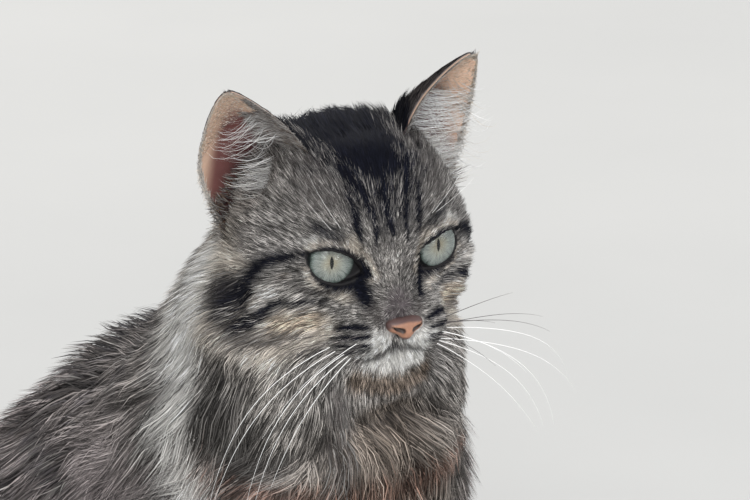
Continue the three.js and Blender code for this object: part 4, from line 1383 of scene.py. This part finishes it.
def lie_at(points):
    x, y, z = points.T
    total = np.zeros((len(points), 3))
    for index, share in place_weights(x, y, z):
        total += share[:, None] * np.array(coat_places[index][3])
    total /= np.linalg.norm(total, axis=1, keepdims=True) + 1e-12
    chest = smooth(-y, 45, 85) * smooth(z, 120, 170)
    total[:, 0] += 0.55 * chest * np.tanh((x - PARTING) / 28)
    on_head = 1 - smooth(face_mass(*in_head(x, y, z)), -3, 20)
    total += (head_lie(points) - total) * on_head[:, None]
    return total / (np.linalg.norm(total, axis=1, keepdims=True) + 1e-12)


def tail_lie(points):
    """Along the tail toward its tip."""
    apart = np.linalg.norm(points[:, None, :] - tail_line[None], axis=2)
    near = clamp(apart.argmin(1), 1, TAIL_STATIONS - 1)
    way = tail_line[near + 1] - tail_line[near - 1]
    return way / np.linalg.norm(way, axis=1, keepdims=True)


def scatter(count, chosen, closeness):
    """Roots spread over the chosen skin faces, with their places on the skin's unwrap."""
    index = np.flatnonzero(chosen)
    weight = skin_areas[index] * closeness(skin_middles[index])
    pick = index[np.searchsorted(np.cumsum(weight) / weight.sum(), chance.random(count))]
    a, b = chance.random((2, count))
    flip = a + b > 1
    a, b = np.where(flip, 1 - a, a), np.where(flip, 1 - b, b)
    share = np.stack([1 - a - b, a, b], 1)[:, :, None]
    roots = (skin_points[skin_triangles[pick]] * share).sum(1)
    uvs = (triangle_uvs[pick] * share).sum(1)
    keep = ~is_bare(roots)
    return roots[keep], uvs[keep]


def on_crown(points):
    """How near each place is to the top of the head between the ears, 0 to 1."""
    x, y, z = in_head(*points.T)
    return smooth(z, 22, 34) * smooth(y, 8, 26) * (1 - smooth(y, 48, 62)) * smooth(np.abs(x), 6, 20)


def unit(vectors):
    return vectors / (np.linalg.norm(vectors, axis=-1, keepdims=True) + 1e-12)


def lay(roots, lengths, depths, layers, joints, lie):
    """Tufts laid along the body from their roots, each rising to its own layer of the coat."""
    up = up_from_skin(roots)
    path, ups = [roots - up * ROOT_SUNK], [up]
    here = roots
    sway = chance.normal(size=(len(roots), 3)) * SWAY
    for joint in range(1, joints):
        along = joint / (joints - 1)
        way = lie(here) + sway
        way = unit(way - up * np.einsum("ij,ij->i", way, up)[:, None])
        here = here + way * (lengths / (joints - 1))[:, None]
        goal = depths * layers * along ** 0.75
        up, steep = slope_of(grid_field, here, 2.0)
        lift = clamp((goal - sample_grid(here)) / np.maximum(steep, 0.5), -6, 6)
        here = here + up * lift[:, None]
        path.append(here)
        ups.append(up)
    return np.stack(path, 1), np.stack(ups, 1)


def tree_of(places):
    """A search tree of places, each numbered as it comes."""
    tree = kdtree.KDTree(len(places))
    for number, place in enumerate(places):
        tree.insert(place, number)
    tree.balance()
    return tree


def gather(path, ups, spacing, pull, wave, lengths, gap):
    """Draws tufts together into locks, which wave from side to side, and says how dark each tuft
    is painted: those between two locks lie low and take painted shade, those on a crest take painted light,
    and no two locks are quite alike."""
    count, joints, _ = path.shape
    guides = chance.permutation(count)[:max(int(guide_count(path[:, 0], spacing)), 8)]
    tree = tree_of(path[guides, 0])
    loose = path[:, 0] + chance.normal(size=(count, 3)) * spacing * LOCK_STRAY
    nearest = np.array([tree.find(place)[1] for place in loose])
    leader = guides[nearest]
    along = np.linspace(0, 1, joints)
    share = pull * (0.6 + 0.4 * chance.random(count))[:, None] * along[None, :] ** 1.3
    path = path + (path[leader] - path) * share[:, :, None]
    sideways = unit(np.cross(ups, np.gradient(path, axis=1)))
    phase = 2.2 * ripple(path[leader, 0], 46, 31) + chance.normal(size=count) * 0.25
    swing = np.sin(2 * math.pi * (lengths[leader][:, None] * along[None, :]) / wave[1] + phase[:, None])
    swing = (swing - np.sin(phase)[:, None]) * wave[0] * along[None, :] ** 0.8
    edge = np.linalg.norm(path[:, 0] - path[leader, 0], axis=1) / spacing
    lock_tone = chance.normal(size=count)[leader]
    # painted light on each lock's crest and painted shade in the gaps between locks, besides each lock's own
    # tone
    shade = 1 + gap * (CREST_LIGHT - GAP_SHADE * smooth(edge, 0.15, 0.85) + LOCK_TONE * lock_tone)
    sunk = gap * LOCK_RELIEF * (smooth(edge, 0.2, 0.8) - 0.4)[:, None] * along[None, :]
    return path + sideways * swing[:, :, None] - ups * sunk[:, :, None], clamp(shade, 0.15, 1.5)


def guide_count(roots, spacing):
    """How many locks the given spacing makes over the ground that the roots cover."""
    cells = np.unique(np.floor(roots / (spacing * 0.8)).astype(int), axis=0)
    return len(cells) * 0.42


def hair_colours(path, ups, shade, depth_at, vivid):
    """Colours along each tuft: slate root, a band in the colour of its place, and its tip."""
    count, joints, _ = path.shape
    kind, flecked = chance.random((2, count))
    # the tuft's lightness carries its lock's painted light on crests and painted shade in gaps, from gather
    light = (1 + 0.16 * chance.normal(size=count)) * shade
    light = light * (1 + vivid * (HAIR_TONES[np.searchsorted(DARKER_HAIRS, kind, "right")] - 1))
    tip_shade = np.where(chance.random(count) < 0.45, 0.45, 1.0)[:, None]
    stray = chance.normal(size=(count, 3)) * (STRAY[0] + STRAY[1] * depth_at(path[:, 1]))[:, None]
    steps = []
    for joint in range(joints):
        if joint != 1:  # the root is coloured as the first joint is
            at = path[:, max(joint, 1)]
            lift = clamp(depth_at(at) - sample_grid(at), -8, 8)
            colour, dark = markings(at + ups[:, max(joint, 1)] * lift[:, None] + stray)
        light_here = FLECKS * smooth(dark, 0.05, 0.4) * (1 - smooth(dark, 0.82, 1.0))
        colour = np.where((flecked < light_here)[:, None], np.array(PALETTE["grey"]) * 0.9, colour)
        tone = 1 + (light - 1) * (1 - 0.6 * np.maximum(dark, smooth(colour.mean(1), 0.38, 0.62)))
        band = colour * clamp(tone, 0.12, 2.2)[:, None]
        root = np.array(SLATE) * (1 - 0.8 * dark)[:, None] + colour * 0.10
        along = np.array(joint / (joints - 1))
        here = root + (band - root) * smooth(along, 0.05, 0.5)
        steps.append(here * (1 + (tip_shade - 1) * smooth(along, 0.7, 1.0)))
    return clamp(np.stack(steps, 1), 0.003, 0.92)


def tuft_mesh(name, path, ups, widths, colours, uvs, roll=50):
    """Flat tapering tufts in one mesh, with their colours and the two maps."""
    count, joints, _ = path.shape
    way = unit(np.gradient(path, axis=1))
    across = unit(np.cross(way, ups))
    over = np.cross(across, way)
    angle = np.radians(chance.uniform(-roll, roll, count))[:, None, None]
    broad = across * np.cos(angle) + over * np.sin(angle)
    along = np.linspace(0, 1, joints)
    taper = np.minimum(1, 0.55 + 1.5 * along) * (1 - along) ** 0.55
    half = widths[:, None, None] * taper[None, :, None] / 2
    left, right = path - broad * half, path + broad * half
    body = np.stack([left[:, :-1], right[:, :-1]], 2).reshape(count, -1, 3)
    points = np.concatenate([body, path[:, -1:]], 1)
    size = 2 * joints - 1
    first = np.arange(count)[:, None] * size
    quads = np.array([[2 * j, 2 * j + 1, 2 * j + 3, 2 * j + 2] for j in range(joints - 2)])
    quads = (first[:, :, None] + quads[None]).reshape(count, -1)
    tips = first + np.array([[size - 3, size - 2, size - 1]])
    loops = np.concatenate([quads, tips], 1)
    mesh = mesh_from(name, points.reshape(-1, 3), loops, np.tile([4] * (joints - 2) + [3], count))
    spread = np.concatenate([np.repeat(along[:-1], 2), along[-1:]])
    sides = np.concatenate([np.tile([0.0, 1.0], joints - 1), [0.5]])
    plan = np.stack([sides, spread], 1)
    bake = uvs[:, None, :] + plan[None] * BAKE_PATCH
    strand = plan[None] * np.array([0.9, 1.0]) + chance.random((count, 1, 2)) * 40
    corner = loops.ravel()
    for title, values in (("OFBake", bake), ("strand", strand)):
        layer = mesh.uv_layers.new(name=title)
        layer.data.foreach_set("uv", values.reshape(-1, 2)[corner].astype(np.float32).ravel())
    shade = np.concatenate([np.repeat(colours[:, :-1], 2, 1), colours[:, -1:]], 1)
    paint(mesh, "coat_colour", shade.reshape(-1, 3))
    lean = unit(ups + 0.35 * over + chance.normal(size=(count, 1, 3)) * 0.22)
    normals = np.concatenate([np.repeat(lean[:, :-1], 2, 1), lean[:, -1:]], 1).reshape(-1, 3)
    mesh.normals_split_custom_set_from_vertices(normals.astype(np.float32))
    return mesh


hair_streaks, strand_places = grain_group(
    "hair_streaks", ("Lines", 5.0), 0.4, 3,
    {"From Min": 0.3, "From Max": 0.7, "To Min": 0.55, "To Max": 1.45}, {"To Min": 0.55, "To Max": 0.85})
strand_plan = hair_streaks.nodes.new("ShaderNodeUVMap")
strand_plan.uv_map = "strand"
stretch = add_node(hair_streaks.nodes, "ShaderNodeMapping", Scale=(1.0, 0.12, 1.0))
join(hair_streaks.links, (strand_plan.outputs["UV"], stretch.inputs["Vector"]),
     (stretch.outputs[0], strand_places))
STREAKED = {"head_coat": 0.25, "ruff_coat": 0.5, "body_coat": 0.5, "leg_coat": 0.4, "tail_coat": 0.5}
coat_finishes = {
    slot: painted_material(slot, hair_streaks, 0.3, 0.0002, {"Contrast": contrast}, Specular_IOR_Level=0.06)
    for slot, contrast in STREAKED.items()}


def add_coat(name, slot, path, ups, widths, colours, uvs, roll=50):
    """Adds tufts as pieces that each keep under the most triangles a piece may have."""
    parts = math.ceil(len(path) * (2 * path.shape[1] - 3) / MOST_TRIANGLES)
    order = np.argsort(path[:, 0, 2], kind="stable")
    for number, chosen in enumerate(np.array_split(order, parts), 1):
        title = f"coat_{name}" if parts == 1 else f"coat_{name}_{number}"
        mesh = tuft_mesh(title, path[chosen], ups[chosen], widths[chosen], colours[chosen], uvs[chosen], roll)
        mesh.materials.append(coat_finishes[slot])
        add_piece(title, mesh, slot)


ear_sheets = []
for name in EARS:
    rise, share = np.meshgrid(np.linspace(-0.1, 1, 50), np.linspace(0, 1, 40))
    ear_sheets.append(from_head(ear_sheet(name, rise.ravel(), share.ravel(), np.zeros(rise.size))))
ear_sheets = np.concatenate(ear_sheets)
ear_tree = tree_of(ear_sheets)


def clear_of_ears(path):
    """Whether a tuft keeps out of the gristle of the ears."""
    clear = np.ones(len(path), bool)
    low = np.min(ear_sheets, 0) - 3
    near = np.flatnonzero((path[:, -1] > low).all(1))
    for number in near:
        clear[number] = min(ear_tree.find(place)[2] for place in path[number, 1:]) > 1.3
    return clear


def body_fur_depth(points):
    return coat_depth(*points.T)


def tail_fur_depth(points):
    return np.full(len(points), TAIL_FUR_DEPTH)


for name, kind in COAT.items():
    if kind["places"]:
        wanted = [i for i, place in enumerate(coat_places) if place[0] in kind["places"].split()]
        chosen, lie, fur_depth = np.isin(best_place, wanted) & ~on_tail, lie_at, body_fur_depth
    else:
        chosen, lie, fur_depth = on_tail, tail_lie, tail_fur_depth
    roots, uvs = scatter(kind["tufts"], chosen, lambda points: 1 / (coat_depth(*points.T) + 2.5))
    depths = fur_depth(roots)
    lengths = (kind["long"][0] * depths + kind["long"][1]) * chance.uniform(0.75, 1.15, len(roots))
    layers = TOP_LAYER - LAYER_SPREAD * chance.random(len(roots)) ** 1.8
    layers = layers * (1 + CROWN_LIFT * on_crown(roots)) * kind.get("raised", 1)
    path, ups = lay(roots, lengths, depths, layers, kind["joints"], lie)
    path, shade = gather(path, ups, *kind["locks"], kind["wave"], lengths, kind["gap"])
    path[:, 1:, 2] = np.maximum(path[:, 1:, 2], 0.4)
    keep = clear_of_ears(path)
    path, ups, uvs, depths = path[keep], ups[keep], uvs[keep], depths[keep]
    widths = kind["width"] * chance.uniform(0.7, 1.25, len(path)) * clamp(0.75 + depths / 24, 0.8, 1.3)
    colours = hair_colours(path, ups, shade[keep], fur_depth, kind.get("vivid", 1))
    add_coat(name, kind["slot"], path, ups, widths, colours, uvs)


# ---- Fur of the ears ----------------------------------------------------------------------------
# Short dark fur behind, a pale rim, sparse ticked hairs inside the tip, a brush along the front
# edge, and long white hairs that sweep from it across the cup and past its rear edge.

EAR_FUR = {
    # tufts, rise from/to, share from/to, rise and share gained, lift high and low, width, side, tones
    "back": dict(tufts=9000, rise=(-0.12, 0.95), share=(0.0, 1.0), gain=(0.13, 0.0), lift=(0.6, 3.2),
                 width=0.42, side=1, colours=("dusk", "soot", "dusk"), joints=4),
    "root": dict(tufts=3000, rise=(-0.30, 0.16), share=(-0.04, 0.45), gain=(0.20, 0.02), lift=(1.0, 4.2),
                 width=0.42, side=1, colours=("soot", "soot", "black"), joints=4),
    "brush": dict(tufts=5200, rise=(-0.18, 0.80), share=(-0.02, 0.13), gain=(0.05, 0.05), lift=(0.9, 2.2),
                  width=0.28, side=-1, colours=("grey", "fawn", "dusk"), joints=4),
    "band": dict(tufts=4200, rise=(-0.25, 0.52), share=(0.06, 0.34), gain=(0.05, 0.10), lift=(1.0, 2.6),
                 width=0.28, side=-1, colours=("grey", "pale", "dusk"), joints=4),
    "base": dict(tufts=3600, rise=(-0.34, 0.0), share=(0.15, 1.02), gain=(0.12, 0.04), lift=(1.2, 3.0),
                 width=0.32, side=-1, colours=("dusk", "grey", "brown"), joints=4),
    "rim": dict(tufts=3200, rise=(-0.05, 0.99), share=(-0.01, 0.02), gain=(0.03, -0.01), lift=(0.3, 0.5),
                width=0.26, side=-1, colours=("pale", "grey", "dusk"), joints=3),
    "rear_rim": dict(tufts=3600, rise=(-0.2, 0.99), share=(0.975, 1.01), gain=(0.035, 0.015), lift=(0.3, 0.5),
                     width=0.26, side=-1, colours=("pale", "cream", "grey"), joints=3),
    "ticks": dict(tufts=6400, rise=(0.42, 0.97), share=(0.06, 0.97), gain=(0.09, 0.06), lift=(0.5, 0.9),
                  width=0.22, side=-1, colours=("cream", "grey", "buff"), joints=3),
    "sweep": dict(tufts=130, rise=(0.06, 0.50), share=(0.10, 0.32), gain=(0.44, 0.76), lift=(2.5, 4.5),
                  width=0.22, side=-1, colours=("frost", "frost", "white"), joints=7),
    "tuft": dict(tufts=620, rise=(-0.26, 0.05), share=(0.02, 0.30), gain=(0.28, 0.64), lift=(2.5, 6.0),
                 width=0.28, side=-1, colours=("frost", "white", "pale"), joints=7),
    "fringe": dict(tufts=200, rise=(0.05, 0.7), share=(0.55, 0.92), gain=(0.06, 0.34), lift=(1.5, 3.0),
                   width=0.22, side=-1, colours=("frost", "cream", "frost"), joints=7),
}
WISP_SAG = 0.13  # of the ear's height
BRIDGED = 0.55  # how far the long hairs stand out over the cup, of its depth
PALETTE["soot"] = (0.020, 0.020, 0.025)
PALETTE["frost"] = (0.95, 0.94, 0.93)


def ear_tufts(name, kind):
    """Paths over one ear's sheet, its way up at each joint, and their tones."""
    count, joints = kind["tufts"] // 2, kind["joints"]
    long_hairs = joints > 5
    if long_hairs:
        count = int(count * EARS[name]["fringed" if kind["share"][0] > 0.5 else "furnished"])
    side = kind["side"]
    low = chance.uniform(*kind["rise"], count)[:, None]
    start = chance.uniform(*kind["share"], count)[:, None]
    along = np.linspace(0, 1, joints)[None, :]
    vary = chance.uniform(0.6, 1.25, (count, 1))
    reach = EARS[name]["reach"] if long_hairs else 1.0
    rise = low + kind["gain"][0] * reach * vary * along * clamp(1.1 - low, 0.2, 1)
    rise = rise + chance.normal(size=(count, 1)) * 0.03 * along
    gained = np.minimum(kind["gain"][1] * reach * vary, (1.4 if reach == 1 else 0.96) - start)
    share = start + gained * along
    share = share + chance.normal(size=(count, 1)) * 0.02 * along
    lift = kind["lift"][0] + (kind["lift"][1] - kind["lift"][0]) * clamp(1 - low * 2, 0, 1)
    bow = np.sin(along * math.pi * 0.62) if long_hairs else along ** 0.8
    off = side * (EAR_SKIN["thick"] / 2 - 0.3 + lift * vary * bow)
    if long_hairs:
        rise = rise - WISP_SAG * np.sin(along * math.pi * 0.9) * chance.uniform(0.2, 1.6, (count, 1))
        share = share + 0.02 * np.sin(along * 4 + chance.uniform(0, 6.3, (count, 1))) * along
        cup = EARS[name]["deep"] * np.sin(math.pi * clamp(share, 0, 1))
        cup = cup * np.cos(clamp(rise, 0, 1) * math.pi / 2)
        off = off + side * BRIDGED * cup * np.sin(along * math.pi / 2)
    path = ear_sheet(name, rise, share, off)
    above = ear_sheet(name, rise, share, off + side * 0.5)
    path, above = (from_head(place.reshape(-1, 3)).reshape(count, joints, 3) for place in (path, above))
    return path, unit(above - path), low[:, 0], start[:, 0]


shell_tree = tree_of(np.concatenate([shell[0] for shell in ear_shells.values()]))
loop_corner = np.zeros(len(skin_mesh.loops), np.int32)
skin_mesh.loops.foreach_get("vertex_index", loop_corner)
corner_uvs = np.zeros((len(skin_mesh.vertices), 2), np.float32)
corner_uvs[loop_corner] = skin_loop_uvs.reshape(-1, 2)


def skin_map_at(points):
    """Places on the skin's unwrap of the ear corners nearest to the given points."""
    return corner_uvs[[len(skin_points) + shell_tree.find(place)[1] for place in points]]


ear_parts = {3: [], 4: [], 7: []}
for kind in EAR_FUR.values():
    for name in EARS:
        path, ups, rises, shares = ear_tufts(name, kind)
        count, joints = path.shape[:2]
        pick = chance.random(count)
        first, second, third = (np.array(PALETTE[tone]) for tone in kind["colours"])
        colour = np.where(pick[:, None] < 0.45, first, np.where(pick[:, None] < 0.75, second, third))
        colour = colour * chance.uniform(0.7, 1.2, (count, 1))
        fade = np.linspace(0.55, 1.0, joints)[None, :, None] if joints > 5 else 1.0
        colours = colour[:, None, :] * np.ones((1, joints, 1)) * fade
        widths = kind["width"] * chance.uniform(0.7, 1.2, count)
        ear_parts[joints].append((path, ups, widths, colours, skin_map_at(path[:, 0])))
for joints, title in ((3, "ear_rims"), (4, "ears"), (7, "ear_furnishings")):
    joined = [np.concatenate(values) for values in zip(*ear_parts[joints])]
    add_coat(title, "head_coat", *joined, roll=70)


# ---- Whiskers -----------------------------------------------------------------------------------
# Stiff tapering hairs of horn, white with a few dark ones, set in four rows on each whisker pad
# and in a small group over each eye. They bow outward and droop toward their tips.

WHISKERS = [
    # root on the pad, how far its tip lies from it on the right and on the left side, and its bow
    ((25.9, -7.0, -31.9), (-57, -7, -48), (56, 6, -34), 12),
    ((24.4, -8.2, -33.4), (-56, -8, -49), (52, 2, -44), 10),
    ((19.2, -11.1, -36.1), (-39, -12, -39), (46, -2, -48), 4),
    ((21.6, -10.1, -34.5), (-50, -10, -48), (60, 4, -30), 9),
    ((20.3, -10.8, -35.3), (-47, -11, -49), (40, -4, -40), 8),
    ((25.0, -7.8, -29.2), (-44, 8, -22), (50, 6, -12), 5),
    ((21.0, -11.0, -28.0), (-34, 22, -20), (48, 2, -6), 5),
    ((18.0, -13.0, -29.8), (-30, 16, -34), (38, -4, -22), 4),
    ((22.8, -9.8, -25.6), (-26, 18, -8), (36, 4, 2), 3),
    ((17.0, -13.8, -26.0), (-22, 10, -12), (28, -2, -4), 2),
    ((15.0, -14.8, -29.0), (-16, 4, -22), (22, -4, -18), 2),
    ((20, -5, 16), (-10, -4, 20), (12, -4, 18), 3),
    ((23, -3, 15), (-14, -2, 14), (16, -2, 12), 3),
]
WHISKER = {"root": 0.15, "tip": 0.03, "sides": 6, "joints": 16, "dark": (5, 6, 8, 9, 10)}


def whisker_mesh(name):
    """Every whisker of the cat as tapering tubes in one mesh."""
    sides, joints = WHISKER["sides"], WHISKER["joints"]
    points, faces, colours = [], [], []
    for number, (root, right, left, bow) in enumerate(WHISKERS):
        for side, reach in ((-1, right), (1, left)):
            start = np.array([(root[0] + FACE_MIDDLE * side) * side, root[1], root[2]], float)
            reach = np.array(reach, float) + chance.normal(size=3) * 2.0
            along = np.linspace(0, 1, joints)[:, None]
            out = np.array([side * 0.6, -side * 0.4 - 0.3, 0.65]) * bow
            line = from_head(start - unit(reach) * 1.5 + reach * along + out * np.sin(along * math.pi) ** 0.9)
            way = unit(np.gradient(line, axis=0))
            across = unit(np.cross(way, np.array([0.1, 0.2, 1.0])))
            over = np.cross(across, way)
            scale = 0.4 if number > 10 else 1.0
            radius = (WHISKER["root"] + (WHISKER["tip"] - WHISKER["root"]) * along) * scale
            turn = np.arange(sides) * 2 * math.pi / sides
            ring = across[:, None] * np.cos(turn)[None, :, None] + over[:, None] * np.sin(turn)[None, :, None]
            base = len(points) * sides * joints
            points.append((line[:, None] + ring * radius[:, None]).reshape(-1, 3))
            index = base + np.arange(joints * sides).reshape(joints, sides)
            ahead = np.roll(index, -1, axis=1)
            faces.append(np.stack([index[:-1], ahead[:-1], ahead[1:], index[1:]], -1).reshape(-1, 4))
            tone = (0.07, 0.06, 0.06) if number in WHISKER["dark"] else (0.95, 0.94, 0.92)
            colours.append(np.tile(tone, (joints * sides, 1)))
    mesh = mesh_from(name, np.concatenate(points), np.concatenate(faces))
    paint(mesh, "coat_colour", np.concatenate(colours))
    return mesh


whisker_set = whisker_mesh("whiskers")
whisker_set.materials.append(
    painted_material("whiskers", mottled_skin, 0.1, 0.0001, {"Grain": 400, "Contrast": 0.2}))
add_piece("whiskers", whisker_set, "whiskers")
